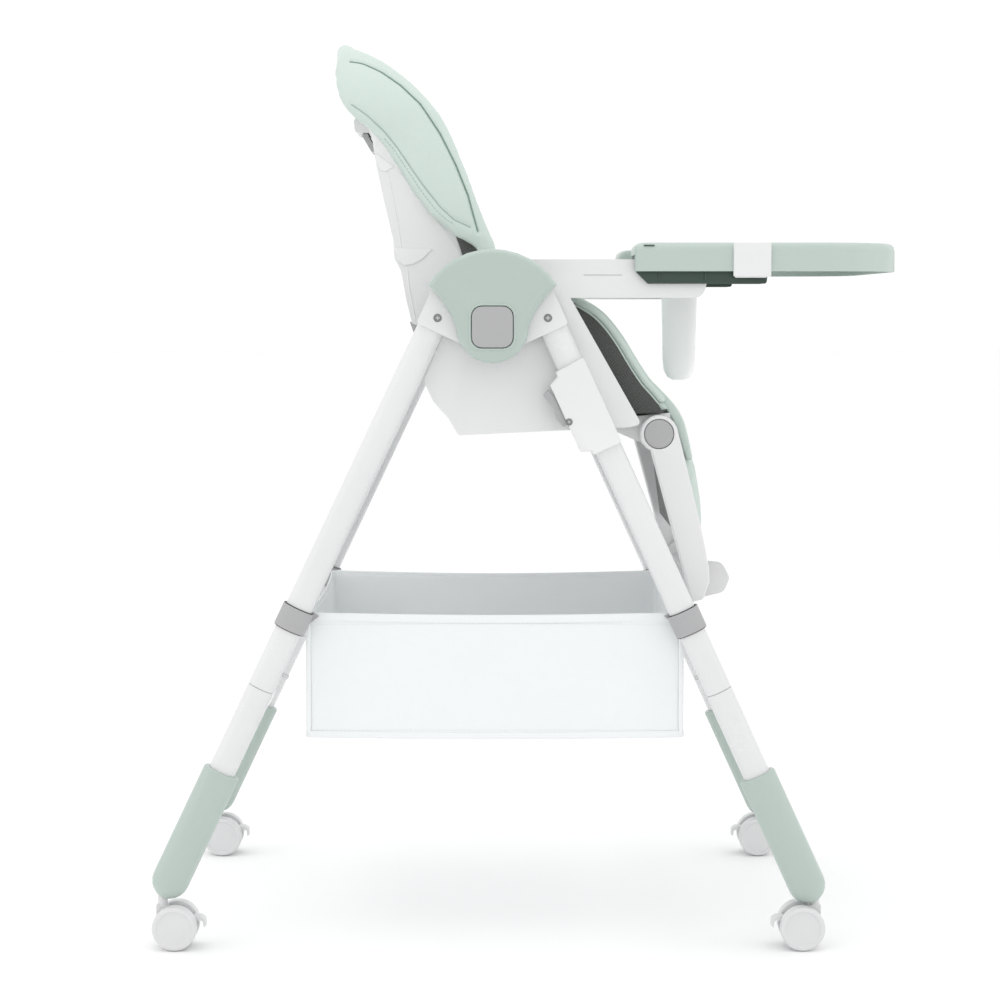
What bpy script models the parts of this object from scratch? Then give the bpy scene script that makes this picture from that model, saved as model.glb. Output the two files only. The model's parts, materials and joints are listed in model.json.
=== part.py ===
"""A folding baby high chair: A-frame on casters, sliding seat, reclining back, leg rest, double tray.

Metres, +Z up, +X the way the child faces, +Y the child's left. The origin is on the floor, in the
middle of the chair's bounding box. Run it with blender --background --python part.py.
"""

from math import atan2, cos, pi, radians, sin, tan

import bmesh
import bpy
from mathutils import Matrix, Vector

# --- driving dimensions -------------------------------------------------------------------------

SIDES = (("right", -1.0), ("left", 1.0))
GAP = 0.0003  # between pieces that rest on each other
RUNNING = 0.0002  # around pins and stems that turn
PAST = 0.0020  # how far a cutting tool runs past the face it opens
PIN_RADIUS = 0.0060  # the fold, recline and leg rest pivots
SHARP_ANGLE = radians(35)

HUB_X, HUB_Z = -0.038, 0.699  # the fold axis
LEG_Y = 0.250  # each side's legs, front and rear in one plane
LEG_SWAY = 0.061  # from the fold axis square across to a leg's centre line
LEG_LEAN = {"front": radians(24.6), "rear": radians(-25.4)}

TUBE_WIDE, TUBE_THICK, TUBE_WALL = 0.0305, 0.0240, 0.0015
LEG_TOP, LEG_SEAM, LEG_END = -0.014, 0.4767, 0.655  # along a leg, down from beside the fold axis
SPIGOT = 0.050
SLEEVE_TOP, SLEEVE_END = 0.581, 0.7395
SLEEVE_WIDE, SLEEVE_THICK = 0.0420, 0.0340
CLIP_AT, CLIP_LONG = 0.390, 0.028
CROSSBAR_AT, CROSSBAR_RADIUS = 0.560, 0.010

WHEEL_RADIUS, WHEEL_OUT, WHEEL_IN = 0.0250, 0.0250, 0.0088
TRAIL = 0.0150  # caster stem to wheel axle
STEM_RADIUS, STEM_TOP = 0.0055, 0.078
AXLE_RADIUS = 0.0030
BRAKE_PIN, BRAKE_HALF = 0.0035, 0.0070

SOCKET_IN, SOCKET_OUT, SOCKET_SPLIT = 0.2345, 0.2655, 0.2500
DISC_RADIUS = 0.0270
COVER_IN, COVER_OUT = 0.2660, 0.2850
BUTTON_SIDE, BUTTON_OUT = 0.0450, 0.2868

SEAT_HALF, SEAT_WALL = 0.2310, 0.0040
ARM_IN = 0.1990  # inner face of an armrest
ARM_LOW, ARM_HIGH, ARM_FRONT = 0.7310, 0.7740, 0.2050
LUG_IN, LUG_OUT = 0.1720, 0.1880
RECLINE_X, RECLINE_Z = -0.045, 0.692
SQUEEZE_X, SQUEEZE_Z = -0.1945, 0.9255  # the recline handle's hinge
BACK_HALF, BACK_WALL = 0.1650, 0.0045
KNEE_X, KNEE_Z = 0.150, 0.578  # the leg rest's hinge
REST_IN, REST_OUT = 0.1890, 0.2130
LEG_BUTTON_RADIUS = 0.0167
CHEEK_THICK = 0.0160  # the footboard's ends

TRAY_REAR, TRAY_FRONT, TRAY_HALF = 0.1200, 0.4215, 0.2450
TRAY_CORNER, TRAY_NOSE_CORNER = 0.0090, 0.0850
TRAY_WALL, TRAY_DISH = 0.0030, 0.0100  # skirt thickness and depth of the dish
TRAY_LOW, TRAY_HIGH = 0.7605, 0.7925
BASE_FRONT, BASE_HALF = 0.2705, 0.2405
BASE_LOW, BASE_DECK = 0.7468, 0.7758

BASKET_REAR, BASKET_FRONT, BASKET_HALF = -0.2490, 0.1780, 0.2320
BASKET_LOW, BASKET_HIGH, BASKET_WALL = 0.2340, 0.3740, 0.0040

MINT = (0.485, 0.590, 0.535)
MINT_LEATHER = (0.560, 0.680, 0.620)
DEEP_GREEN = (0.060, 0.095, 0.075)
WHITE = (0.860, 0.865, 0.870)
PALE_GREY = (0.520, 0.525, 0.530)
GREY = (0.350, 0.350, 0.355)
CLOTH_WHITE = (0.830, 0.870, 0.880)


# --- small tools --------------------------------------------------------------------------------


def clear_scene():
    for thing in list(bpy.data.objects):
        bpy.data.objects.remove(thing, do_unlink=True)


def paint(name, colour, roughness):
    material = bpy.data.materials.new(name + "_finish")
    material.use_nodes = True
    shader = material.node_tree.nodes["Principled BSDF"]
    shader.inputs["Base Color"].default_value = (*colour, 1.0)
    shader.inputs["Roughness"].default_value = roughness
    return material


def joint_empty(name, point, parent=None):
    """An empty on a joint's axis, which its body's pieces hang from."""
    empty = bpy.data.objects.new(name + "_axis", None)
    bpy.context.collection.objects.link(empty)
    empty.empty_display_size = 0.02
    empty.parent = parent
    offset = Vector(parent["at"]) if parent else Vector()
    empty.location = Vector(point) - offset
    empty["at"] = tuple(point)
    return empty


def place(name, shape, body, colour, roughness):
    """Makes one sub-part from a bmesh in world places, and hangs it on its body's empty."""
    bmesh.ops.recalc_face_normals(shape, faces=shape.faces)
    pivot = Vector(body["at"])
    bmesh.ops.translate(shape, verts=shape.verts, vec=-pivot)
    mesh = bpy.data.meshes.new(name)
    shape.to_mesh(mesh)
    shape.free()
    piece = bpy.data.objects.new(name, mesh)
    bpy.context.collection.objects.link(piece)
    piece.parent = body
    piece.data.materials.append(paint(name, colour, roughness))
    mesh.shade_smooth()
    mesh.set_sharp_from_angle(angle=SHARP_ANGLE)
    return piece


def tool(shape, name):
    """A hidden solid that only cuts or joins."""
    bmesh.ops.recalc_face_normals(shape, faces=shape.faces)
    mesh = bpy.data.meshes.new(name)
    shape.to_mesh(mesh)
    shape.free()
    cutter = bpy.data.objects.new(name, mesh)
    bpy.context.collection.objects.link(cutter)
    cutter.hide_render = True
    cutter.display_type = "WIRE"
    return cutter


def combine(piece, shape, operation):
    """Adds one Boolean to a piece: its tool is given in world places."""
    cutter = tool(shape, f"{piece.name}_{operation.lower()}_{len(piece.modifiers)}")
    modifier = piece.modifiers.new(operation.lower(), "BOOLEAN")
    modifier.operation = operation
    modifier.object = cutter
    modifier.solver = "EXACT"


def cut(piece, shape):
    combine(piece, shape, "DIFFERENCE")


def add(piece, shape):
    combine(piece, shape, "UNION")


def soften(piece, width, segments=2, angle=50):
    """Rounds a piece's sharp edges."""
    modifier = piece.modifiers.new("soften", "BEVEL")
    modifier.width = width
    modifier.segments = segments
    modifier.limit_method = "ANGLE"
    modifier.angle_limit = radians(angle)


def arc(centre, radius, start, end, steps):
    """Points on an arc, angles in degrees."""
    points = []
    for step in range(steps + 1):
        turn = radians(start + (end - start) * step / steps)
        points.append((centre[0] + radius * cos(turn), centre[1] + radius * sin(turn)))
    return points


def bezier(start, control, end, steps):
    points = []
    for step in range(steps + 1):
        t = step / steps
        points.append(
            tuple((1 - t) ** 2 * a + 2 * t * (1 - t) * b + t * t * c for a, b, c in zip(start, control, end))
        )
    return points


def rounded(corners, steps=4):
    """An outline from (x, z, radius) corners, each rounded by an arc."""
    outline = []
    count = len(corners)
    for index, (x, z, radius) in enumerate(corners):
        here = Vector((x, z))
        if radius <= 0:
            outline.append((x, z))
            continue
        back = (Vector(corners[index - 1][:2]) - here).normalized()
        ahead = (Vector(corners[(index + 1) % count][:2]) - here).normalized()
        half = back.angle(ahead) / 2
        reach = radius / tan(half)
        middle = here + (back + ahead).normalized() * (radius / sin(half))
        first = here + back * reach - middle
        turn = first.angle_signed(here + ahead * reach - middle)
        for step in range(steps + 1):
            spoke = first.copy()
            spoke.rotate(Matrix.Rotation(-turn * step / steps, 2))
            outline.append(tuple(middle + spoke))
    return outline


def loft(rings, closed=False):
    """A skin over rings of equal length: capped at its ends, or joined up into a loop."""
    shape = bmesh.new()
    rows = [[shape.verts.new(point) for point in ring] for ring in rings]
    pairs = list(zip(rows, rows[1:]))
    if closed:
        pairs.append((rows[-1], rows[0]))
    for low, high in pairs:
        for index in range(len(low)):
            after = (index + 1) % len(low)
            shape.faces.new((low[index], low[after], high[after], high[index]))
    if not closed:
        shape.faces.new(rows[0])
        shape.faces.new(reversed(rows[-1]))
    return shape


def slab(outline, near, far):
    """An XZ outline made solid between two Y places."""
    return loft([[(x, near, z) for x, z in outline], [(x, far, z) for x, z in outline]])


def sheet_slab(outline, low, high):
    """An XY outline made solid between two heights."""
    return loft([[(x, y, low) for x, y in outline], [(x, y, high) for x, y in outline]])


def disc(x, z, radius, near, far, steps=32):
    """A round bar along Y."""
    return slab(arc((x, z), radius, 0, 360 - 360 / steps, steps - 1), near, far)


def post(x, y, radius, low, high, steps=20):
    """A round bar along Z."""
    return sheet_slab(arc((x, y), radius, 0, 360 - 360 / steps, steps - 1), low, high)


def box(rear, front, near, far, low, high):
    return slab([(rear, low), (front, low), (front, high), (rear, high)], near, far)


# --- leg frame of reference ---------------------------------------------------------------------


def leg_way(end):
    """Down a leg, and square out from it away from the fold axis, both in XZ."""
    lean = LEG_LEAN[end]
    down = Vector((sin(lean), -cos(lean)))
    out = Vector((cos(lean), sin(lean)))
    return down, out if end == "front" else -out


def on_leg(end, out, along):
    """The (x, z) place that is this far out from a leg's centre line and this far down it."""
    down, away = leg_way(end)
    spot = Vector((HUB_X, HUB_Z)) + away * (LEG_SWAY + out) + down * along
    return tuple(spot)


def leg_outline(end, corners, steps=3):
    """A rounded outline given as (out, along, radius) corners on a leg."""
    return rounded([(*on_leg(end, out, along), radius) for out, along, radius in corners], steps)


def oval_ring(end, along, wide, thick, y, steps=24):
    """An oval cross-section of a leg."""
    ring = []
    for step in range(steps):
        turn = 2 * pi * step / steps
        x, z = on_leg(end, wide / 2 * cos(turn), along)
        ring.append((x, y + thick / 2 * sin(turn), z))
    return ring


def hollow_leg(end, y, stations, bore_wide, bore_thick):
    """An open-ended oval tube: (along, wide, thick) stations outside, one bore inside."""
    rings = [oval_ring(end, *station, y) for station in stations]
    for along in (stations[-1][0], stations[0][0]):
        rings.append(oval_ring(end, along, bore_wide, bore_thick, y))
    return loft(rings, closed=True)


# --- the folding frame --------------------------------------------------------------------------


def upper_leg(end, side, sign, body):
    bore = TUBE_WIDE - 2 * TUBE_WALL, TUBE_THICK - 2 * TUBE_WALL
    stations = [(LEG_TOP, TUBE_WIDE, TUBE_THICK), (LEG_SEAM, TUBE_WIDE, TUBE_THICK)]
    shape = hollow_leg(end, sign * LEG_Y, stations, *bore)
    place(f"{end}_upper_leg_{side}", shape, body, WHITE, 0.28)


def lower_leg(end, side, sign, body):
    inner = TUBE_WIDE - 2 * TUBE_WALL - 2 * GAP, TUBE_THICK - 2 * TUBE_WALL - 2 * GAP
    seam = LEG_SEAM + GAP
    stations = [
        (seam - SPIGOT, *inner),
        (seam, *inner),
        (seam, TUBE_WIDE, TUBE_THICK),
        (LEG_END, TUBE_WIDE, TUBE_THICK),
    ]
    bore = inner[0] - 2 * TUBE_WALL, inner[1] - 2 * TUBE_WALL
    shape = hollow_leg(end, sign * LEG_Y, stations, *bore)
    place(f"{end}_lower_leg_{side}", shape, body, WHITE, 0.28)


def foot_sleeve(end, side, sign, body):
    """The coloured foot that covers the tube's end: straight, with a round lower end."""
    straight_end = SLEEVE_END - SLEEVE_WIDE / 2
    rings = [
        oval_ring(end, SLEEVE_TOP, SLEEVE_WIDE - 0.003, SLEEVE_THICK - 0.003, sign * LEG_Y),
        oval_ring(end, SLEEVE_TOP + 0.0015, SLEEVE_WIDE, SLEEVE_THICK, sign * LEG_Y),
    ]
    for step in range(6):
        turn = pi / 2 * step / 5.6
        share = cos(turn)
        along = straight_end + SLEEVE_WIDE / 2 * sin(turn)
        thick = SLEEVE_THICK * (0.35 + 0.65 * share)
        rings.append(oval_ring(end, along, SLEEVE_WIDE * share, thick, sign * LEG_Y))
    sleeve = place(f"{end}_foot_sleeve_{side}", loft(rings), body, MINT, 0.42)
    wide, thick = TUBE_WIDE + 2 * GAP, TUBE_THICK + 2 * GAP
    bore = [oval_ring(end, along, wide, thick, sign * LEG_Y) for along in (SLEEVE_TOP - 0.01, LEG_END + GAP)]
    cut(sleeve, loft(bore))
    cut(sleeve, post(stem_x(end), sign * LEG_Y, STEM_RADIUS + RUNNING, 0.030, STEM_TOP + RUNNING))


def crossbar(end, body):
    x, z = on_leg(end, 0.0, CROSSBAR_AT)
    reach = LEG_Y - TUBE_THICK / 2 - GAP
    shape = disc(x, z, CROSSBAR_RADIUS, -reach, reach, 24)
    place(f"{end}_crossbar", shape, body, WHITE, 0.28)


def basket_clip(end, side, sign, body):
    """The plastic ring on a leg that the basket's corner hooks on."""
    wide, thick = TUBE_WIDE + 2 * GAP, TUBE_THICK + 2 * GAP
    low, high = CLIP_AT - CLIP_LONG / 2, CLIP_AT + CLIP_LONG / 2
    stations = [
        (low, wide + 0.0035, thick + 0.0030),
        (low + 0.001, wide + 0.0055, thick + 0.0046),
        (high - 0.001, wide + 0.0055, thick + 0.0046),
        (high, wide + 0.0035, thick + 0.0030),
    ]
    shape = hollow_leg(end, sign * LEG_Y, stations, wide, thick)
    place(f"{end}_basket_clip_{side}", shape, body, GREY, 0.45)


def hub_socket(end, side, sign, body):
    """Holds a leg's top end, and turns on the fold axis by its disc. The front one has the pin."""
    edge = [(0.0168, 0.0320, 0.004), (0.0168, -0.0200, 0.006), (-0.0300, -0.0260, 0.0), (-0.0440, 0.0, 0.0)]
    edge += [(-0.0440, 0.0320, 0.0)]
    inner, outer = sign * SOCKET_IN, sign * SOCKET_OUT
    split = sign * SOCKET_SPLIT
    socket = place(f"{end}_hub_socket_{side}", slab(leg_outline(end, edge), inner, outer), body, WHITE, 0.35)
    if end == "front":
        own, other = (split + sign * GAP / 2, outer), (inner - sign * 0.001, split + sign * GAP / 2)
    else:
        own, other = (inner, split - sign * GAP / 2), (split - sign * GAP / 2, outer + sign * 0.001)
    cut(socket, disc(HUB_X, HUB_Z, DISC_RADIUS + 0.0006, *other, 40))
    add(socket, disc(HUB_X, HUB_Z, DISC_RADIUS, *own, 40))
    if end == "front":
        add(socket, disc(HUB_X, HUB_Z, PIN_RADIUS, inner, split + sign * 0.004, 24))
    else:
        cut(socket, disc(HUB_X, HUB_Z, PIN_RADIUS + RUNNING, inner - sign * PAST, outer, 24))
    wide, thick = TUBE_WIDE + 2 * GAP, TUBE_THICK + 2 * GAP
    bore = [oval_ring(end, along, wide, thick, sign * LEG_Y) for along in (LEG_TOP - GAP, 0.05)]
    cut(socket, loft(bore))


def shield_outline():
    """The hub cover's face: a wide arched top, hollow flanks and a round foot."""
    rise, half = 0.0855, 0.0710
    shoulder = 0.0460
    sag = rise - shoulder
    radius = (half * half + sag * sag) / (2 * sag)
    spread = 180 / pi * atan2(half, radius - sag)
    top = arc((HUB_X, HUB_Z + rise - radius), radius, 90 - spread, 90 + spread, 12)
    left_flank = bezier((-half, shoulder), (-0.049, 0.026), (-0.0400, 0.0), 4)
    right_flank = [(-x, z) for x, z in reversed(left_flank)]
    foot = arc((0.0, 0.0), 0.0400, 180, 360, 14)
    sides = left_flank[1:] + foot[1:-1] + right_flank[:-1]
    return top + [(HUB_X + x, HUB_Z + z) for x, z in sides]


def square_outline(x, z, side_length, radius, steps=4):
    half = side_length / 2
    corners = [(x - half, z - half), (x + half, z - half), (x + half, z + half), (x - half, z + half)]
    return rounded([(*corner, radius) for corner in corners], steps)


def hub_cover(side, sign, body):
    cover = place(
        f"hub_cover_{side}", slab(shield_outline(), sign * COVER_IN, sign * COVER_OUT), body, MINT, 0.40
    )
    soften_outer_rim(cover, sign)
    cut(cover, disc(HUB_X, HUB_Z, 0.0345, sign * (COVER_IN - 0.001), sign * 0.2812, 36))
    hole = square_outline(HUB_X, HUB_Z, BUTTON_SIDE + 0.0016, 0.0118)
    cut(cover, slab(hole, sign * 0.279, sign * (COVER_OUT + 0.001)))


def soften_outer_rim(cover, sign):
    """A deep round on the cover's outer rim only, marked by bevel weight."""
    mesh = cover.data
    outer = sign * COVER_OUT - cover.parent["at"][1]
    weights = mesh.attributes.new("bevel_weight_edge", "FLOAT", "EDGE")
    for index, edge in enumerate(mesh.edges):
        on_face = all(abs(mesh.vertices[corner].co.y - outer) < 1e-6 for corner in edge.vertices)
        weights.data[index].value = 1.0 if on_face else 0.0
    modifier = cover.modifiers.new("rim", "BEVEL")
    modifier.width = 0.0065
    modifier.segments = 4
    modifier.limit_method = "WEIGHT"


def fold_button(side, sign, body):
    face = slab(square_outline(HUB_X, HUB_Z, BUTTON_SIDE, 0.011), sign * 0.2780, sign * BUTTON_OUT)
    button = place(f"fold_button_{side}", face, body, GREY, 0.40)
    soften(button, 0.0010)
    flange = square_outline(HUB_X, HUB_Z, 0.0475, 0.012)
    add(button, slab(flange, sign * 0.2755, sign * 0.2806))


# --- casters ------------------------------------------------------------------------------------


def stem_x(end):
    """The caster's stem stands under the rounded end of the sleeve."""
    return on_leg(end, 0.0, SLEEVE_END)[0]


def wheel_x(end):
    return stem_x(end) + (-TRAIL if end == "front" else TRAIL)


def caster_yoke(end, side, sign, body):
    """Plate between the two wheels, with the stem that turns in the foot."""
    x, stem = wheel_x(end), stem_x(end)
    y, half = sign * LEG_Y, WHEEL_IN - 0.0010
    plate = disc(x, WHEEL_RADIUS, 0.0205, y - half, y + half, 28)
    yoke = place(f"{end}_caster_yoke_{side}", plate, body, WHITE, 0.40)
    neck = STEM_RADIUS + 0.0013
    add(yoke, box(stem - neck, stem + neck, y - 0.0060, y + 0.0060, 0.0220, 0.0485))
    add(yoke, post(stem, y, STEM_RADIUS, 0.045, STEM_TOP))
    cut(yoke, disc(x, WHEEL_RADIUS, AXLE_RADIUS + RUNNING, y - 0.02, y + 0.02, 20))
    hinge_x, hinge_z = brake_axis(end)
    cut(yoke, disc(hinge_x, hinge_z, BRAKE_PIN + 0.0007, y - 0.02, y + 0.02, 16))


def wheel_pair(end, side, sign, body):
    """Two wheels on one axle, turned about the axle line."""
    profile = [(0.0190, WHEEL_OUT - 0.0014), (0.0204, WHEEL_OUT), (0.0238, WHEEL_OUT - 0.0004)]
    profile += [(WHEEL_RADIUS, WHEEL_OUT - 0.0026), (WHEEL_RADIUS, WHEEL_IN + 0.0010), (0.0242, WHEEL_IN)]
    profile += [(AXLE_RADIUS, WHEEL_IN)]
    line = profile + [(radius, -across) for radius, across in reversed(profile)]
    steps = 28
    rings = []
    for radius, across in line:
        circle = arc((wheel_x(end), WHEEL_RADIUS), radius, 0, 360 - 360 / steps, steps - 1)
        rings.append([(x, sign * LEG_Y + across, z) for x, z in circle])
    place(f"{end}_wheel_pair_{side}", loft(rings), body, WHITE, 0.45)


def brake_axis(end):
    """The brake lever's pin, on the side of the wheels that faces the middle of the chair."""
    toward = -1.0 if end == "front" else 1.0
    return wheel_x(end) + toward * 0.0212, WHEEL_RADIUS + 0.0080


def caster_brake(end, side, sign, body):
    """A short hooked lever on its pin, between the wheels and just past their rims."""
    toward = -1.0 if end == "front" else 1.0
    x, z = brake_axis(end)
    steps = [(0.0, 0.0032), (0.0070, 0.0032), (0.0120, 0.0000), (0.0128, -0.0080), (0.0104, -0.0100)]
    steps += [(0.0094, -0.0030), (0.0060, -0.0012), (0.0, -0.0032)]
    outline = [(x + toward * across, z + up) for across, up in steps]
    near, far = sign * LEG_Y - BRAKE_HALF, sign * LEG_Y + BRAKE_HALF
    lever = place(f"{end}_caster_brake_{side}", slab(outline, near, far), body, WHITE, 0.45)
    add(lever, disc(x, z, BRAKE_PIN, near, far, 16))


# --- seat ---------------------------------------------------------------------------------------


def seat_shell(body):
    """Moulded seat: side panels, floor, back wall, armrests and the leg rest's lugs."""
    panel = [(-0.0761, 0.5774, 0.004), (0.1160, 0.5865, 0.0), (0.1290, 0.5900, 0.004), (0.0480, 0.7330, 0.0)]
    panel += [(0.0480, 0.7450, 0.0), (-0.0700, 0.7450, 0.006), (-0.1150, 0.6380, 0.010)]
    panel += [(-0.1040, 0.6150, 0.010), (-0.0870, 0.5960, 0.010)]
    outline = rounded(panel, 3)
    seat = place("seat_shell", slab(outline, -SEAT_HALF, SEAT_HALF), body, WHITE, 0.35)
    inside = [(-0.0735, 0.5830), (0.1300, 0.5920), (0.1800, 0.5920), (0.1800, 0.80), (-0.1500, 0.80)]
    inside += [(-0.1500, 0.6380), (-0.1100, 0.6380), (-0.0990, 0.6160), (-0.0820, 0.5980)]
    hollow = SEAT_HALF - SEAT_WALL
    cut(seat, slab(inside, -hollow, hollow))
    floor = [(0.0600, 0.5837), (0.1180, 0.5862), (0.1640, 0.5960), (0.1640, 0.6010), (0.0600, 0.5905)]
    add(seat, slab(floor, -LUG_OUT, LUG_OUT))
    for _, sign in SIDES:
        arm = rounded(
            [
                (-0.0700, ARM_LOW, 0.006),
                (ARM_FRONT - 0.008, ARM_LOW, 0.012),
                (ARM_FRONT, ARM_HIGH - 0.012, 0.010),
                (ARM_FRONT - 0.006, ARM_HIGH, 0.004),
                (-0.0700, ARM_HIGH, 0.010),
            ],
            3,
        )
        add(seat, slab(arm, sign * ARM_IN, sign * SEAT_HALF))
        nose = arc((KNEE_X, KNEE_Z), 0.0170, -130, 60, 10)
        lug = [(0.0900, 0.5848), (0.1350, 0.5650), *nose, (0.0900, 0.5900)]
        add(seat, slab(lug, sign * LUG_IN, sign * LUG_OUT))
        add(seat, disc(KNEE_X, KNEE_Z, PIN_RADIUS, sign * (LUG_OUT - 0.004), sign * (REST_OUT - 0.0120), 20))
        cut(seat, recline_pin_hole(sign))
        groove = box(0.0640, 0.1060, sign * (SEAT_HALF - 0.0012), sign * (SEAT_HALF + 0.002), 0.7555, 0.7572)
        cut(seat, groove)


def recline_pin_hole(sign):
    """The side panel's hole for the back's pivot pin."""
    return disc(RECLINE_X, RECLINE_Z, PIN_RADIUS + RUNNING, sign * 0.2000, sign * 0.2400, 20)


def seat_slider(side, sign, body):
    """Rides on the front leg and carries the seat."""
    corners = [(0.0165, 0.0720, 0.003), (0.0165, 0.1756, 0.003)]
    corners += [(-0.0180, 0.1756, 0.0), (-0.0180, 0.1710, 0.0)]
    corners += [(-0.0298, 0.1662, 0.002), (-0.0298, 0.0850, 0.003), (-0.0182, 0.0800, 0.0)]
    corners += [(-0.0182, 0.0745, 0.002)]
    shape = slab(leg_outline("front", corners, 2), sign * (SEAT_HALF + GAP), sign * 0.2680)
    slider = place(f"seat_slider_{side}", shape, body, WHITE, 0.35)
    soften(slider, 0.0012, 1)
    wide, thick = TUBE_WIDE + 0.0008, TUBE_THICK + 0.0008
    cut(slider, loft([oval_ring("front", along, wide, thick, sign * LEG_Y) for along in (0.06, 0.19)]))


def lever_axis():
    return on_leg("front", -0.0338, 0.1300)


def height_lever(side, sign, body):
    """The trigger behind a slider that frees it from the leg."""
    corners = [(-0.0420, 0.0930, 0.002), (-0.0330, 0.0885, 0.001)]
    corners += [(-0.0306, 0.1000, 0.0), (-0.0306, 0.1330, 0.001)]
    corners += [(-0.0360, 0.1340, 0.001), (-0.0385, 0.1230, 0.002), (-0.0360, 0.1080, 0.004)]
    shape = slab(leg_outline("front", corners, 2), sign * 0.2400, sign * 0.2620)
    lever = place(f"height_lever_{side}", shape, body, GREY, 0.45)
    soften(lever, 0.0008, 1)


# --- back ---------------------------------------------------------------------------------------


def back_shell(body):
    """Open-fronted moulded back: a curved rear wall between two side walls with the pivot ears."""
    rear = [(-0.1300, 0.7020), (-0.1367, 0.7290), (-0.1425, 0.7620), (-0.1500, 0.7760), (-0.1515, 0.7980)]
    rear += [(-0.1623, 0.8440), (-0.1705, 0.8830), (-0.1725, 0.8960), (-0.1738, 0.9060)]
    front = [(-0.1705, 0.9060), (-0.1490, 0.8800), (-0.1215, 0.8460), (-0.0960, 0.8130), (-0.0740, 0.7820)]
    ear = arc((RECLINE_X, RECLINE_Z), 0.0190, 20, -120, 8)
    outline = rear + front + ear
    shell = place("back_shell", slab(outline, -BACK_HALF, BACK_HALF), body, WHITE, 0.35)
    inner = [(x + BACK_WALL, z) for x, z in rear]
    inner[0] = (inner[0][0], 0.6900)
    inner[-1] = (-0.1685, 0.9300)
    hollow = [*inner, (0.02, 0.9300), (0.02, 0.64), (-0.06, 0.64)]
    cut(shell, slab(hollow, -BACK_HALF + BACK_WALL, BACK_HALF - BACK_WALL))
    for _, sign in SIDES:
        near, far = sign * (BACK_HALF - 0.002), sign * (SEAT_HALF - 0.0002)
        add(shell, disc(RECLINE_X, RECLINE_Z, PIN_RADIUS, near, far, 20))
    housing = [(-0.2010, 0.9270, 0.003), (-0.1850, 0.9265, 0.0)]
    housing += [(-0.1745, 0.9100, 0.0), (-0.1722, 0.8900, 0.0)]
    housing += [(-0.1690, 0.8920, 0.0), (-0.1708, 0.9080, 0.0), (-0.1795, 0.9210, 0.0)]
    housing += [(-0.1900, 0.9440, 0.002), (-0.2030, 0.9440, 0.004)]
    add(shell, slab(rounded(housing, 3), -0.0480, 0.0480))


def recline_handle(body):
    """The squeeze lever under the back's housing."""
    outline = rounded(
        [
            (-0.1950, 0.9262, 0.002),
            (-0.1868, 0.9262, 0.001),
            (-0.1800, 0.9130, 0.002),
            (-0.1785, 0.9050, 0.001),
            (-0.1825, 0.9050, 0.001),
        ],
        2,
    )
    handle = place("recline_handle", slab(outline, -0.0420, 0.0420), body, GREY, 0.45)
    soften(handle, 0.0008, 1)


# --- leg rest -----------------------------------------------------------------------------------


def leg_rest_arm(side, sign, body):
    """Hangs on the knee hinge; the round head holds the release button."""
    head = arc((KNEE_X, KNEE_Z), 0.0214, 20, 246, 14)
    edge = [(0.1805, 0.4150), (0.1880, 0.3870), (0.2010, 0.3902), (0.2080, 0.4100)]
    front = bezier((0.2075, 0.4250), (0.1990, 0.4750), (0.1702, 0.5853), 5)
    shape = slab(head + edge + front[:-1], sign * REST_IN, sign * REST_OUT)
    arm = place(f"leg_rest_arm_{side}", shape, body, WHITE, 0.35)
    soften(arm, 0.0015, 1)
    cut(arm, disc(KNEE_X, KNEE_Z, PIN_RADIUS + RUNNING, sign * (REST_IN - PAST), sign * 0.2100, 20))
    well = LEG_BUTTON_RADIUS + 0.0005
    cut(arm, disc(KNEE_X, KNEE_Z, well, sign * 0.2015, sign * (REST_OUT + PAST), 32))


def leg_button(side, sign, body):
    shape = disc(KNEE_X, KNEE_Z, LEG_BUTTON_RADIUS, sign * 0.2050, sign * (REST_OUT - 0.0004), 32)
    button = place(f"leg_button_{side}", shape, body, GREY, 0.4)
    soften(button, 0.0010, 1)


def footboard(body):
    """A thin deck for the feet between two deeper cheeks with round noses."""
    deck = [(0.1822, 0.4050, 0.002), (0.1886, 0.3870, 0.002), (0.2190, 0.3940, 0.006)]
    deck += [(0.2250, 0.3995, 0.004), (0.2210, 0.4060, 0.003)]
    cheek = [(0.1822, 0.4090, 0.002), (0.1886, 0.3870, 0.002), (0.2260, 0.3960, 0.011)]
    cheek += [(0.2330, 0.4125, 0.010), (0.2245, 0.4290, 0.010), (0.2050, 0.4308, 0.003)]
    reach = REST_IN - GAP
    deck_solid = slab(rounded(deck, 3), -reach + CHEEK_THICK / 2, reach - CHEEK_THICK / 2)
    board = place("footboard", deck_solid, body, PALE_GREY, 0.5)
    for _, sign in SIDES:
        add(board, slab(rounded(cheek, 5), sign * (reach - CHEEK_THICK), sign * reach))
    soften(board, 0.0010, 1)


# --- tray ---------------------------------------------------------------------------------------


def tray_outline(inset):
    """The tray from above, with a hollow in its rear edge for the child."""
    rear, front, half = TRAY_REAR + inset, TRAY_FRONT - inset, TRAY_HALF - inset
    corners = [
        (front, -half, TRAY_NOSE_CORNER - inset),
        (front, half, TRAY_NOSE_CORNER - inset),
        (rear, half, TRAY_CORNER - inset / 4),
        (rear, 0.150 - inset / 2, 0.040 + inset),
        (rear + 0.035, 0.105 - inset / 2, 0.040 + inset),
        (rear + 0.035, -0.105 + inset / 2, 0.040 + inset),
        (rear, -0.150 + inset / 2, 0.040 + inset),
        (rear, -half, TRAY_CORNER - inset / 4),
    ]
    return rounded(corners, 5)


def tray_ring(inset, height):
    return [(x, y, height) for x, y in tray_outline(inset)]


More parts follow.
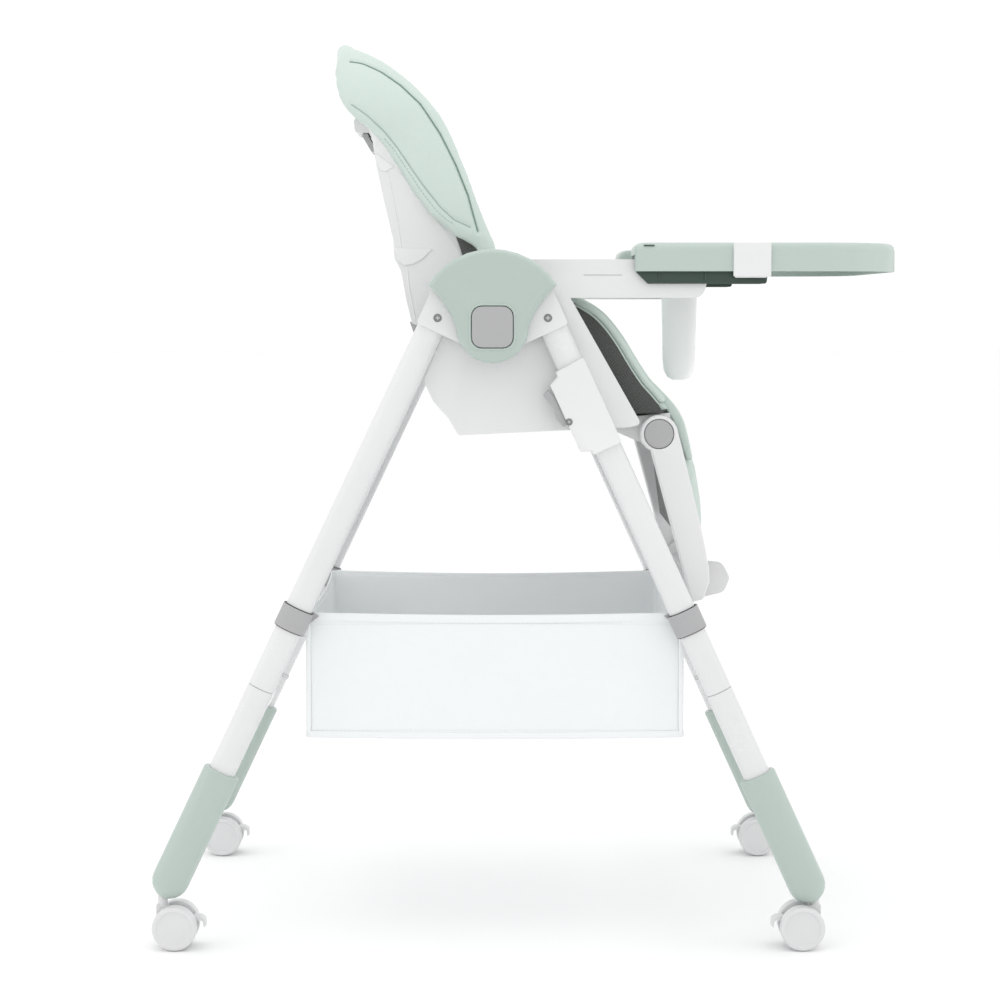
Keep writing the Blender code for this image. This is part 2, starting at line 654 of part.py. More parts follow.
def tray_top(body):
    """The lift-off tray: a dished deck with a round rim and a deep skirt, hollow underneath."""
    sections = [(TRAY_WALL, TRAY_LOW), (0.0, TRAY_LOW), (0.0, TRAY_HIGH - 0.0085)]
    sections += [(0.0012, TRAY_HIGH - 0.0042), (0.0040, TRAY_HIGH - 0.0012), (0.0080, TRAY_HIGH)]
    sections += [(0.0120, TRAY_HIGH - 0.0010), (0.0150, TRAY_HIGH - 0.0080), (0.0190, TRAY_HIGH - TRAY_DISH)]
    tray = place("tray_top", loft([tray_ring(*section) for section in sections]), body, MINT, 0.32)
    ceiling = TRAY_HIGH - TRAY_DISH - TRAY_WALL - 2 * GAP
    cut(tray, loft([tray_ring(TRAY_WALL, TRAY_LOW - PAST), tray_ring(TRAY_WALL, ceiling)]))
    reach = TRAY_HALF - 0.0070
    cut(tray, box(TRAY_REAR - 0.02, TRAY_REAR + 0.045, -reach, reach, TRAY_LOW - PAST, ceiling - GAP))


def tray_base(body):
    """The sliding base: a deck on the armrests with a rail on each side of each."""
    rear = TRAY_REAR + 0.0015
    corners = [(BASE_FRONT, -BASE_HALF, 0.006), (BASE_FRONT, BASE_HALF, 0.006)]
    corners += [(rear + 0.012, BASE_HALF, 0.0)]
    corners += [(rear, BASE_HALF - 0.012, 0.0), (rear, 0.158, 0.0), (rear + 0.0380, 0.110, 0.0)]
    corners += [(x, -y, radius) for x, y, radius in reversed(corners[3:])]
    corners.append((rear + 0.012, -BASE_HALF, 0.0))
    deck = rounded(corners)
    base = place("tray_base", sheet_slab(deck, BASE_DECK - 0.0010, BASE_DECK + 0.0024), body, DEEP_GREEN, 0.5)
    for _, sign in SIDES:
        for inner, outer in ((SEAT_HALF + 0.0010, SEAT_HALF + 0.0060), (ARM_IN - 0.0060, ARM_IN - 0.0010)):
            rail = rounded(
                [
                    (TRAY_REAR + 0.0150, BASE_LOW, 0.003),
                    (BASE_FRONT - 0.0030, BASE_LOW, 0.003),
                    (BASE_FRONT - 0.0005, BASE_DECK + 0.0010, 0.0),
                    (TRAY_REAR + 0.0018, BASE_DECK + 0.0010, 0.0),
                    (TRAY_REAR + 0.0020, BASE_LOW + 0.0130, 0.003),
                ],
                3,
            )
            add(base, slab(rail, sign * inner, sign * outer))


def clip_axis(sign):
    return sign * 0.2435, 0.7555


def tray_clip(side, sign, body):
    """Side latch that holds the lift-off tray down on its base."""
    y, z = clip_axis(sign)
    inner, outer = sign * (TRAY_HALF + GAP), sign * (TRAY_HALF + 0.0040)
    face = box(0.2295, 0.2715, inner, outer, z - 0.0010, TRAY_HIGH)
    clip = place(f"tray_clip_{side}", face, body, WHITE, 0.35)
    soften(clip, 0.0010, 1)
    add(clip, box(0.2316, 0.2662, y - sign * 0.0010, outer - sign * 0.0019, z - 0.0021, z + 0.0023))


def crotch_post(body):
    """Hangs from the tray base between the child's legs."""
    stations = [(BASE_DECK - 0.0010 - GAP, 0.0222, 0.0260)]
    stations += [(0.6600, 0.0195, 0.0235), (0.6450, 0.0180, 0.0220)]
    stations += [(0.6370, 0.0140, 0.0180), (0.6335, 0.0080, 0.0115)]
    middle = 0.1865
    rings = []
    for height, half_deep, half_wide in stations:
        ring = []
        for step in range(24):
            turn = 2 * pi * step / 24
            x = middle + half_deep * abs(cos(turn)) ** 0.7 * (1 if cos(turn) > 0 else -1)
            y = half_wide * abs(sin(turn)) ** 0.7 * (1 if sin(turn) > 0 else -1)
            ring.append((x, y, height))
        rings.append(ring)
    place("crotch_post", loft(rings), body, WHITE, 0.35)


# --- soft parts ---------------------------------------------------------------------------------


def basket(body):
    """Cloth basket under the seat, open at the top."""
    outer = box(BASKET_REAR, BASKET_FRONT, -BASKET_HALF, BASKET_HALF, BASKET_LOW, BASKET_HIGH)
    piece = place("basket", outer, body, CLOTH_WHITE, 0.9)
    wall = BASKET_WALL
    inside = box(
        BASKET_REAR + wall,
        BASKET_FRONT - wall,
        -BASKET_HALF + wall,
        BASKET_HALF - wall,
        BASKET_LOW + wall,
        BASKET_HIGH + 0.01,
    )
    cut(piece, inside)


def seat_cushion(body):
    """Seat pad with two side bolsters that fall away towards the front."""
    pad = [(-0.0700, 0.5925, 0.004), (0.1550, 0.6020, 0.004)]
    pad += [(0.1600, 0.6150, 0.006), (-0.0850, 0.6180, 0.008)]
    cushion = place("seat_cushion", slab(rounded(pad, 3), -0.1800, 0.1800), body, MINT_LEATHER, 0.55)
    bolster = [(0.0, 0.5960, 0.004), (0.1600, 0.6025, 0.004), (0.1715, 0.6000, 0.003), (0.1572, 0.6159, 0.02)]
    bolster += [(0.1191, 0.6611, 0.02), (0.0879, 0.7063, 0.02)]
    bolster += [(0.0515, 0.7288, 0.01), (0.0400, 0.7450, 0.01)]
    bolster += [(-0.0120, 0.7450, 0.010)]
    for _, sign in SIDES:
        add(cushion, slab(rounded(bolster, 2), sign * 0.1650, sign * 0.1950))


def back_cushion(body):
    """Back pad inside a horseshoe of wings that wraps over the top of the shell."""
    rings = []
    steps = 22
    for step in range(steps + 1):
        share = -1 + 2 * step / steps
        rings.append(wing_section(share))
    cushion = place("back_cushion", loft(rings), body, MINT_LEATHER, 0.55)
    add(cushion, back_pad())


def wing_section(share):
    """One cut across the horseshoe: share runs from -1 at the right foot to 1 at the left foot."""
    sign = -1.0 if share < 0 else 1.0
    climb = 1 - abs(share)
    y, z, turn = wing_path(climb)
    rear, front = wing_depth(climb)
    thick = 0.018
    ring = []
    corners = [(rear, 0.0, 0.004), (front, 0.0, 0.006), (front, thick, 0.006), (rear, thick, 0.004)]
    for x, depth in rounded(corners, 2):
        ring.append((x, sign * (y - depth * cos(turn)), z - depth * sin(turn)))
    return ring


def wing_path(climb):
    """Outer line of the horseshoe seen from the front, with its outward direction."""
    straight = 0.62
    foot_z, shoulder_z, top_z = 0.7900, 0.9300, 1.0290
    foot_y, shoulder_y = 0.1840, 0.1740
    if climb < straight:
        t = climb / straight
        return foot_y + (shoulder_y - foot_y) * t, foot_z + (shoulder_z - foot_z) * t, 0.0
    turn = pi / 2 * (climb - straight) / (1 - straight)
    return shoulder_y * cos(turn), shoulder_z + (top_z - shoulder_z) * sin(turn), turn


def wing_depth(climb):
    """How far back and forward the horseshoe reaches at a place on its path."""
    stations = [
        (0.00, -0.0560, -0.0400),
        (0.10, -0.0900, -0.0450),
        (0.25, -0.1180, -0.0560),
        (0.40, -0.1460, -0.0720),
        (0.55, -0.1720, -0.0900),
        (0.66, -0.2050, -0.1080),
        (0.78, -0.2190, -0.1400),
        (0.90, -0.2270, -0.1850),
        (1.00, -0.2290, -0.2080),
    ]
    for low, high in zip(stations, stations[1:]):
        if climb <= high[0] + 1e-9:
            t = (climb - low[0]) / (high[0] - low[0])
            return low[1] + (high[1] - low[1]) * t, low[2] + (high[2] - low[2]) * t
    return stations[-1][1:]


def back_pad():
    """The pad that the child leans on, narrowing into the rounded top."""
    stations = [
        (0.6650, -0.1150, -0.0920, 0.1450),
        (0.7200, -0.1280, -0.1020, 0.1585),
        (0.8000, -0.1440, -0.1160, 0.1585),
        (0.8800, -0.1630, -0.1340, 0.1585),
        (0.9200, -0.1695, -0.1460, 0.1585),
        (0.9450, -0.1860, -0.1560, 0.1550),
        (0.9700, -0.2040, -0.1680, 0.1450),
        (1.0000, -0.2180, -0.1880, 0.1100),
        (1.0180, -0.2240, -0.2060, 0.0600),
    ]
    rings = []
    for z, rear, front, half in stations:
        rings.append([(rear, -half, z), (front, -half, z), (front, half, z), (rear, half, z)])
    return loft(rings)


def leg_cushion(body):
    """Calf pad on the leg rest."""
    pad = [(0.1570, 0.5450, 0.006), (0.1700, 0.4600, 0.006)]
    pad += [(0.2030, 0.4550, 0.010), (0.1870, 0.5450, 0.012)]
    place("leg_cushion", slab(rounded(pad, 3), -0.1840, 0.1840), body, MINT_LEATHER, 0.55)


# --- assembly -----------------------------------------------------------------------------------


def build_frame():
    """Front frame is the root; the rear frame turns on the fold axis. Returns both empties."""
    front = joint_empty("front_frame", (0.0, 0.0, 0.0))
    rear = joint_empty("rear_frame", (HUB_X, 0.0, HUB_Z), front)
    for end, body in (("front", front), ("rear", rear)):
        crossbar(end, body)
        for side, sign in SIDES:
            upper_leg(end, side, sign, body)
            lower_leg(end, side, sign, body)
            foot_sleeve(end, side, sign, body)
            basket_clip(end, side, sign, body)
            hub_socket(end, side, sign, body)
    for side, sign in SIDES:
        hub_cover(side, sign, front)
        fold_button(side, sign, joint_empty(f"fold_button_{side}", (HUB_X, sign * COVER_OUT, HUB_Z), front))
    basket(front)
    return front, rear


def build_casters(frames):
    for end, frame in frames.items():
        for side, sign in SIDES:
            name = f"{end}_caster_{side}"
            swivel = joint_empty(name, (stem_x(end), sign * LEG_Y, WHEEL_RADIUS), frame)
            caster_yoke(end, side, sign, swivel)
            axle = joint_empty(name + "_axle", (wheel_x(end), sign * LEG_Y, WHEEL_RADIUS), swivel)
            wheel_pair(end, side, sign, axle)
            x, z = brake_axis(end)
            caster_brake(end, side, sign, joint_empty(name + "_brake", (x, sign * LEG_Y, z), swivel))


def build_seat(front):
    seat = joint_empty("seat", (HUB_X, 0.0, HUB_Z), front)
    seat_shell(seat)
    seat_cushion(seat)
    back = joint_empty("back", (RECLINE_X, 0.0, RECLINE_Z), seat)
    back_shell(back)
    back_cushion(back)
    recline_handle(joint_empty("recline_handle", (SQUEEZE_X, 0.0, SQUEEZE_Z), back))
    rest = joint_empty("leg_rest", (KNEE_X, 0.0, KNEE_Z), seat)
    footboard(rest)
    leg_cushion(rest)
    lever_x, lever_z = lever_axis()
    for side, sign in SIDES:
        seat_slider(side, sign, seat)
        height_lever(side, sign, joint_empty(f"height_lever_{side}", (lever_x, sign * LEG_Y, lever_z), seat))
        leg_rest_arm(side, sign, rest)
        leg_button(side, sign, joint_empty(f"leg_button_{side}", (KNEE_X, sign * REST_OUT, KNEE_Z), rest))
    return seat


def build_tray(seat):
    base = joint_empty("tray_base", (TRAY_REAR, 0.0, BASE_DECK), seat)
    tray_base(base)
    crotch_post(base)
    tray_top(joint_empty("tray_top", (TRAY_REAR, 0.0, TRAY_LOW), base))
    for side, sign in SIDES:
        y, z = clip_axis(sign)
        tray_clip(side, sign, joint_empty(f"tray_clip_{side}", (0.2505, y, z), base))


def main():
    clear_scene()
    front, rear = build_frame()
    build_casters({"front": front, "rear": rear})
    seat = build_seat(front)
    build_tray(seat)


main()
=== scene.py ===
"""Looks of a folding baby high chair: moulded shells, coated tubes, leather-look pads, cloth basket."""

import json
from math import cos, exp, pi, radians, sin, sqrt

import bmesh
import bpy
import numpy as np
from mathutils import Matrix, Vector
from mathutils import noise as mathutils_noise
from mathutils.bvhtree import BVHTree
from mathutils.kdtree import KDTree


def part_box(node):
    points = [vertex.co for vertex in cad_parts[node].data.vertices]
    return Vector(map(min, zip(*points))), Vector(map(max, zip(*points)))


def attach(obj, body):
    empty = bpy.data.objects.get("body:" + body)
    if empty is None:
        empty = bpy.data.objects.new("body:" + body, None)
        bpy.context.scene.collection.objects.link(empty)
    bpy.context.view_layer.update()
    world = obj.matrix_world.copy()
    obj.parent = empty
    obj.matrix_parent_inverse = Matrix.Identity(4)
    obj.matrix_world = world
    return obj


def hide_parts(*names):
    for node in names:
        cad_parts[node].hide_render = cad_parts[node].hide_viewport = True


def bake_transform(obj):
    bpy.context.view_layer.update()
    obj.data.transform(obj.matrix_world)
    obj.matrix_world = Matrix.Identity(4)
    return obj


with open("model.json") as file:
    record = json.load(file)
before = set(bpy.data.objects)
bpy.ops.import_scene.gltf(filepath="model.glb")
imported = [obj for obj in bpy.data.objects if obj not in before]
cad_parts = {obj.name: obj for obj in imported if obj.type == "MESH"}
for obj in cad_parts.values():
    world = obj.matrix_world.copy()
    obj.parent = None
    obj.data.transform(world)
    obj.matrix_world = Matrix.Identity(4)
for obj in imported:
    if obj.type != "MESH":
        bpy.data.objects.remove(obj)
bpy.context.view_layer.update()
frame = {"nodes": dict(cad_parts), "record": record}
SIDES = (("right", -1.0), ("left", 1.0))
HUB = (-0.038, 0.699)  # the fold axis, (forward, up)
LEG_Y = 0.250  # each side's legs, across from the middle
SHELL_SIDE = 0.1630  # just inside the back shell's side wall

# --- camera, floor and light --------------------------


def make_camera():
    camera = bpy.data.cameras.new("camera")
    camera.lens, camera.sensor_width = 91.8, 36.0
    camera.clip_start, camera.clip_end = 0.05, 200.0
    seat = bpy.data.objects.new("camera", camera)
    bpy.context.scene.collection.objects.link(seat)
    seat.location = (-0.0296, -3.088, 0.7198)
    seat.rotation_euler = (radians(90 - 4.306), 0.0, 0.0)
    bpy.context.scene.camera = seat


def soft_box(name, place, aim, size, watts):
    light = bpy.data.lights.new(name, "AREA")
    light.shape, light.size, light.size_y = "RECTANGLE", size[0], size[1]
    light.energy = watts
    lamp = bpy.data.objects.new(name, light)
    bpy.context.scene.collection.objects.link(lamp)
    lamp.location = place
    lamp.rotation_euler = (Vector(aim) - Vector(place)).to_track_quat("-Z", "Y").to_euler()


def make_studio():
    """A white sweep with light from above, in front and both sides."""
    scene = bpy.context.scene
    world = bpy.data.worlds.new("studio")
    world.use_nodes = True
    sky = world.node_tree.nodes["Background"]
    sky.inputs["Color"].default_value = (1.0, 1.0, 1.0, 1.0)
    sky.inputs["Strength"].default_value = 1.03
    scene.world = world
    scene.view_settings.view_transform = "Standard"
    bpy.ops.mesh.primitive_plane_add(size=90.0, location=(0.0, 0.0, -0.0005))
    floor = bpy.context.object
    floor.name = "floor"
    paper = bpy.data.materials.new("paper")
    paper.use_nodes = True
    shader = paper.node_tree.nodes["Principled BSDF"]
    shader.inputs["Base Color"].default_value = (0.97, 0.97, 0.97, 1.0)
    shader.inputs["Roughness"].default_value = 0.9
    floor.data.materials.append(paper)
    soft_box("top_light", (0.1, -0.4, 3.2), (0.0, 0.0, 0.6), (3.4, 3.0), 16)
    soft_box("front_light", (0.9, -4.2, 1.7), (0.0, 0.0, 0.6), (3.2, 2.2), 5)
    soft_box("left_light", (-3.0, -0.8, 1.3), (0.0, 0.0, 0.55), (1.6, 2.4), 5)
    soft_box("right_light", (3.0, -0.6, 1.5), (0.0, 0.0, 0.55), (1.6, 2.4), 3)
    soft_box("back_light", (-0.4, 3.0, 2.2), (0.0, 0.0, 0.5), (2.6, 1.8), 3)


# --- effects shared by the finishes -------------------


def new_group(name, inputs, outputs):
    """A shader node group: inputs are (name, kind, default), outputs are (name, kind)."""
    tree = bpy.data.node_groups.new(name, "ShaderNodeTree")
    for label, kind, value in inputs:
        socket = tree.interface.new_socket(label, in_out="INPUT", socket_type="NodeSocket" + kind)
        socket.default_value = value
    for label, kind in outputs:
        tree.interface.new_socket(label, in_out="OUTPUT", socket_type="NodeSocket" + kind)
    entry = tree.nodes.new("NodeGroupInput")
    leave = tree.nodes.new("NodeGroupOutput")
    return tree, entry, leave


def noise(tree, scale, detail, rough=0.55):
    """A noise texture on the piece's own coordinates."""
    place = tree.nodes.new("ShaderNodeTexCoord")
    node = tree.nodes.new("ShaderNodeTexNoise")
    node.inputs["Scale"].default_value = scale
    node.inputs["Detail"].default_value = detail
    node.inputs["Roughness"].default_value = rough
    tree.links.new(place.outputs["Object"], node.inputs["Vector"])
    return node.outputs["Fac"]


def remap(tree, value, low, high, start=0.3, end=0.7):
    node = tree.nodes.new("ShaderNodeMapRange")
    node.inputs["From Min"].default_value = start
    node.inputs["From Max"].default_value = end
    for label, amount in (("To Min", low), ("To Max", high)):
        if isinstance(amount, (int, float)):
            node.inputs[label].default_value = amount
        else:
            tree.links.new(amount, node.inputs[label])
    tree.links.new(value, node.inputs["Value"])
    return node.outputs["Result"]


def maths(tree, operation, first, second):
    node = tree.nodes.new("ShaderNodeMath")
    node.operation = operation
    for socket, amount in zip(node.inputs, (first, second)):
        if isinstance(amount, (int, float)):
            socket.default_value = amount
        else:
            tree.links.new(amount, socket)
    return node.outputs[0]


def tint(tree, factor, first, second, blend="MIX"):
    node = tree.nodes.new("ShaderNodeMix")
    node.data_type, node.blend_type = "RGBA", blend
    for socket, amount in ((node.inputs[0], factor), (node.inputs[6], first), (node.inputs[7], second)):
        if isinstance(amount, (int, float)):
            socket.default_value = amount
        elif isinstance(amount, tuple):
            socket.default_value = (*amount, 1.0)
        else:
            tree.links.new(amount, socket)
    return node.outputs[2]


def edge_highlight_mask(tree):
    """Painted highlight: white along a piece's convex edges."""
    geometry = tree.nodes.new("ShaderNodeNewGeometry")
    return remap(tree, geometry.outputs["Pointiness"], 0.0, 1.0, 0.52, 0.58)


def moulded_group():
    """Moulded or coated surface: faint shade drift, handled patches, lighter edges as a painted highlight,
    fine grain.
    """
    tree, entry, leave = new_group(
        "moulded",
        [
            ("Colour", "Color", (0.8, 0.8, 0.8, 1.0)),
            ("Edge Highlight Colour", "Color", (0.9, 0.9, 0.9, 1.0)),
            ("Drift", "Float", 0.03),
            ("Roughness", "Float", 0.35),
            ("Handling", "Float", 0.06),
            ("Grain Size", "Float", 900.0),
            ("Edge Wear", "Float", 0.5),
        ],
        [("Colour", "Color"), ("Roughness", "Float"), ("Grain", "Float")],
    )
    broad = noise(tree, 7.0, 3.0)
    darker = tint(tree, 1.0, entry.outputs["Colour"], (0.90, 0.915, 0.91), "MULTIPLY")
    drift = maths(tree, "MULTIPLY", remap(tree, broad, 0.0, 10.0), entry.outputs["Drift"])
    shade = tint(tree, drift, entry.outputs["Colour"], darker)
    # painted highlight: the pale edge colour is mixed in along convex edges
    edge = maths(tree, "MULTIPLY", edge_highlight_mask(tree), entry.outputs["Edge Wear"])
    tree.links.new(tint(tree, edge, shade, entry.outputs["Edge Highlight Colour"]), leave.inputs["Colour"])
    smears = noise(tree, 26.0, 5.0, rough=0.7)
    swing = maths(tree, "MULTIPLY", remap(tree, smears, -1.0, 1.0), entry.outputs["Handling"])
    tree.links.new(maths(tree, "ADD", entry.outputs["Roughness"], swing), leave.inputs["Roughness"])
    grain = noise(tree, 1.0, 2.0)
    tree.links.new(entry.outputs["Grain Size"], grain.node.inputs["Scale"])
    tree.links.new(grain, leave.inputs["Grain"])
    return tree


def leather_group():
    """Coated leather-look cloth: pebbled cells with fine pores, painted shade in the valleys between cells,
    and a slow random drift in tone.
    """
    tree, entry, leave = new_group(
        "leather",
        [
            ("Colour", "Color", (0.8, 0.8, 0.8, 1.0)),
            ("Crease Colour", "Color", (0.6, 0.6, 0.6, 1.0)),
            ("Cell Size", "Float", 620.0),
            ("Roughness", "Float", 0.42),
        ],
        [("Colour", "Color"), ("Roughness", "Float"), ("Grain", "Float")],
    )
    place = tree.nodes.new("ShaderNodeTexCoord")
    cells = tree.nodes.new("ShaderNodeTexVoronoi")
    cells.feature = "DISTANCE_TO_EDGE"
    tree.links.new(place.outputs["Object"], cells.inputs["Vector"])
    tree.links.new(entry.outputs["Cell Size"], cells.inputs["Scale"])
    pebbles = remap(tree, cells.outputs["Distance"], 0.0, 1.0, 0.0, 0.22)
    pores = noise(tree, 2600.0, 2.0)
    height = maths(tree, "ADD", pebbles, maths(tree, "MULTIPLY", pores, 0.3))
    tree.links.new(height, leave.inputs["Grain"])
    broad = remap(tree, noise(tree, 9.0, 4.0), 0.0, 0.35)
    shade = tint(tree, broad, entry.outputs["Colour"], entry.outputs["Crease Colour"])
    # painted shade: the valleys between the pebbles are darkened towards the crease colour, which also
    # takes the random drift
    valley_shade = maths(tree, "MULTIPLY", maths(tree, "SUBTRACT", 1.0, pebbles), 0.22)
    tree.links.new(tint(tree, valley_shade, shade, entry.outputs["Crease Colour"]), leave.inputs["Colour"])
    swing = remap(tree, noise(tree, 40.0, 4.0), -0.05, 0.07)
    tree.links.new(maths(tree, "ADD", entry.outputs["Roughness"], swing), leave.inputs["Roughness"])
    return tree


def weave_group():
    """Plain weave: warp and weft threads that pass over and under, with uneven yarn and painted shade where
    a thread passes under.
    """
    tree, entry, leave = new_group(
        "weave",
        [
            ("Colour", "Color", (0.8, 0.8, 0.8, 1.0)),
            ("Gap Colour", "Color", (0.6, 0.6, 0.6, 1.0)),
            ("Threads per Metre", "Float", 1500.0),
            ("Roughness", "Float", 0.8),
        ],
        [("Colour", "Color"), ("Roughness", "Float"), ("Height", "Float")],
    )
    place = tree.nodes.new("ShaderNodeTexCoord")
    split = tree.nodes.new("ShaderNodeSeparateXYZ")
    tree.links.new(place.outputs["Object"], split.inputs["Vector"])
    across = maths(tree, "ADD", split.outputs["X"], split.outputs["Y"])
    along = maths(tree, "ADD", split.outputs["Z"], maths(tree, "MULTIPLY", split.outputs["Y"], -0.35))
    turns = maths(tree, "MULTIPLY", entry.outputs["Threads per Metre"], pi)
    warp = maths(tree, "SINE", maths(tree, "MULTIPLY", across, turns), 0.0)
    weft = maths(tree, "SINE", maths(tree, "MULTIPLY", along, turns), 0.0)
    checks = maths(tree, "MULTIPLY", warp, weft)
    height = remap(tree, checks, 0.0, 1.0, -0.7, 0.7)
    yarn = remap(tree, noise(tree, 320.0, 3.0), -0.2, 0.2)
    tree.links.new(maths(tree, "ADD", height, yarn), leave.inputs["Height"])
    broad = remap(tree, noise(tree, 6.0, 3.0), 0.0, 0.3)
    # painted shade: where a thread passes under, it is darkened towards the gap colour, together with a
    # broad random drift in tone
    gap_shade = maths(tree, "MULTIPLY", maths(tree, "SUBTRACT", 1.0, height), 0.3)
    amount = maths(tree, "ADD", gap_shade, maths(tree, "MULTIPLY", broad, 0.5))
    shade = tint(tree, amount, entry.outputs["Colour"], entry.outputs["Gap Colour"])
    tree.links.new(shade, leave.inputs["Colour"])
    swing = remap(tree, noise(tree, 30.0, 3.0), -0.06, 0.06)
    tree.links.new(maths(tree, "ADD", entry.outputs["Roughness"], swing), leave.inputs["Roughness"])
    return tree


GROUPS = {"moulded": moulded_group(), "leather": leather_group(), "weave": weave_group()}


def finish_of(name, group, bump, distance, relief, **values):
    """A material from one shared effect: relief is the group's height output."""
    material = bpy.data.materials.new(name)
    material.use_nodes = True
    tree = material.node_tree
    shader = tree.nodes["Principled BSDF"]
    effect = tree.nodes.new("ShaderNodeGroup")
    effect.node_tree = GROUPS[group]
    for label, value in values.items():
        socket = effect.inputs[label.replace("_", " ").title().replace("Per", "per")]
        socket.default_value = (*value, 1.0) if isinstance(value, tuple) else value
    tree.links.new(effect.outputs["Colour"], shader.inputs["Base Color"])
    tree.links.new(effect.outputs["Roughness"], shader.inputs["Roughness"])
    ridge = tree.nodes.new("ShaderNodeBump")
    ridge.inputs["Strength"].default_value = bump
    ridge.inputs["Distance"].default_value = distance
    tree.links.new(effect.outputs[relief], ridge.inputs["Height"])
    tree.links.new(ridge.outputs["Normal"], shader.inputs["Normal"])
    return material


def coat(material, **settings):
    """Sets plain shader sockets, such as a clear coat or a sheen."""
    shader = material.node_tree.nodes["Principled BSDF"]
    for label, value in settings.items():
        shader.inputs[label.replace("_", " ")].default_value = value
    return material


def moulded(name, colour, roughness, edge=None, grain=900.0, bump=0.05, wear=0.45):
    """A moulded or coated finish, a little paler along its edges: a painted highlight."""
    pale = edge or tuple(min(1.0, c * 1.12 + 0.02) for c in colour)
    values = {"colour": colour, "edge_highlight_colour": pale, "drift": 0.035, "roughness": roughness}
    values.update(handling=0.05, grain_size=grain, edge_wear=wear)
    return finish_of(name, "moulded", bump, 0.0004, "Grain", **values)


LEG_COAT = coat(
    moulded("leg_coat", (0.735, 0.738, 0.741), 0.24, grain=420.0, bump=0.08, wear=0.25),
    Coat_Weight=0.35,
    Coat_Roughness=0.08,
)
WHITE_SHELL = coat(
    moulded("white_shell", (0.750, 0.752, 0.754), 0.34, wear=0.3),
    Coat_Weight=0.12,
    Coat_Roughness=0.2,
)
# The mint finish has a much paler edge colour: a painted highlight on its rounded edges.
MINT_SHELL = coat(
    moulded("mint_shell", (0.425, 0.505, 0.463), 0.33, edge=(0.60, 0.70, 0.65)),
    Coat_Weight=0.18,
    Coat_Roughness=0.15,
)
GREY_SHELL = moulded("grey_shell", (0.405, 0.405, 0.410), 0.42, bump=0.12, grain=1400.0)
PALE_SHELL = moulded("pale_shell", (0.640, 0.640, 0.645), 0.46, bump=0.14, grain=1300.0)
DEEP_SHELL = moulded("deep_shell", (0.030, 0.058, 0.042), 0.45, bump=0.16, grain=1200.0)
CASTER_SHELL = moulded("caster_shell", (0.700, 0.700, 0.705), 0.36, wear=0.3)
PAD = coat(
    finish_of(
        "pad_leather", "leather", 0.28, 0.0004, "Grain",
        colour=(0.590, 0.690, 0.640), crease_colour=(0.525, 0.615, 0.570),
        cell_size=640.0, roughness=0.44,
    ),
    Sheen_Weight=0.12,
    Sheen_Roughness=0.4,
)
PIPING = coat(
    finish_of(
        "piping_leather", "leather", 0.22, 0.0003, "Grain",
        colour=(0.560, 0.650, 0.605), crease_colour=(0.450, 0.530, 0.490),
        cell_size=760.0, roughness=0.42,
    ),
    Sheen_Weight=0.1,
)
# The basket cloth glows faintly: painted light that brightens its shaded inside.
CLOTH = coat(
    finish_of(
        "basket_cloth", "weave", 0.22, 0.0004, "Height",
        colour=(0.815, 0.835, 0.842), gap_colour=(0.735, 0.760, 0.770),
        threads_per_metre=900.0, roughness=0.62,
    ),
    Sheen_Weight=0.15,
    Emission_Color=(0.93, 0.96, 0.97, 1.0),
    Emission_Strength=0.035,
)
LINING = coat(
    finish_of(
        "dark_mesh", "weave", 0.6, 0.0008, "Height",
        colour=(0.100, 0.104, 0.100), gap_colour=(0.035, 0.037, 0.036),
        threads_per_metre=520.0, roughness=0.85,
    ),
    Sheen_Weight=0.3,
)
THREAD = moulded("thread", (0.330, 0.450, 0.385), 0.7, bump=0.4, grain=2500.0, wear=0.0)
# Dark lines laid in the back cushion's seams: painted shadow along the seam grooves, deeper at the nose
# seam.
SEAM_SHADOW_DEEP = moulded("seam_shadow_deep", (0.200, 0.290, 0.240), 0.8, wear=0.0)
SEAM_SHADOW_FAINT = moulded("seam_shadow_faint", (0.360, 0.450, 0.400), 0.8, wear=0.0)
WHITE_THREAD = moulded("white_thread", (0.780, 0.800, 0.805), 0.7, bump=0.4, grain=2500.0, wear=0.0)
# The crotch post glows faintly: painted light that lifts it out of the shade under the tray.
GLOWING_POST_SHELL = coat(
    moulded("glowing_post_shell", (0.790, 0.792, 0.794), 0.36),
    Emission_Color=(0.95, 0.96, 0.96, 1.0),
    Emission_Strength=0.14,
)
SCREW_STEEL = coat(moulded("screw_steel", (0.230, 0.230, 0.235), 0.35, bump=0.1, wear=0.3), Metallic=0.9)
STEEL = coat(moulded("zinc_steel", (0.560, 0.560, 0.570), 0.30, bump=0.1, wear=0.3), Metallic=1.0)

FINISHES = {
    "leg_tube": LEG_COAT,
    "white_plastic": WHITE_SHELL,
    "mint_plastic": MINT_SHELL,
    "grey_plastic": GREY_SHELL,
    "pale_plastic": PALE_SHELL,
    "dark_plastic": DEEP_SHELL,
    "cushion": PAD,
    "basket_cloth": CLOTH,
    "caster_plastic": CASTER_SHELL,
}

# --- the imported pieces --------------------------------


def dress_nodes():
    """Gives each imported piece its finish, softened edges and even shading."""
    slots = {row["node"]: row["material_slot"] for row in frame["record"]["subparts"]}
    for name, node in frame["nodes"].items():
        node.data.materials.clear()
        # the crotch post takes the glowing finish: painted light
        node.data.materials.append(GLOWING_POST_SHELL if name == "crotch_post" else FINISHES[slots[name]])
        soften(node, 0.0011 if "wheel" not in name else 0.0007)


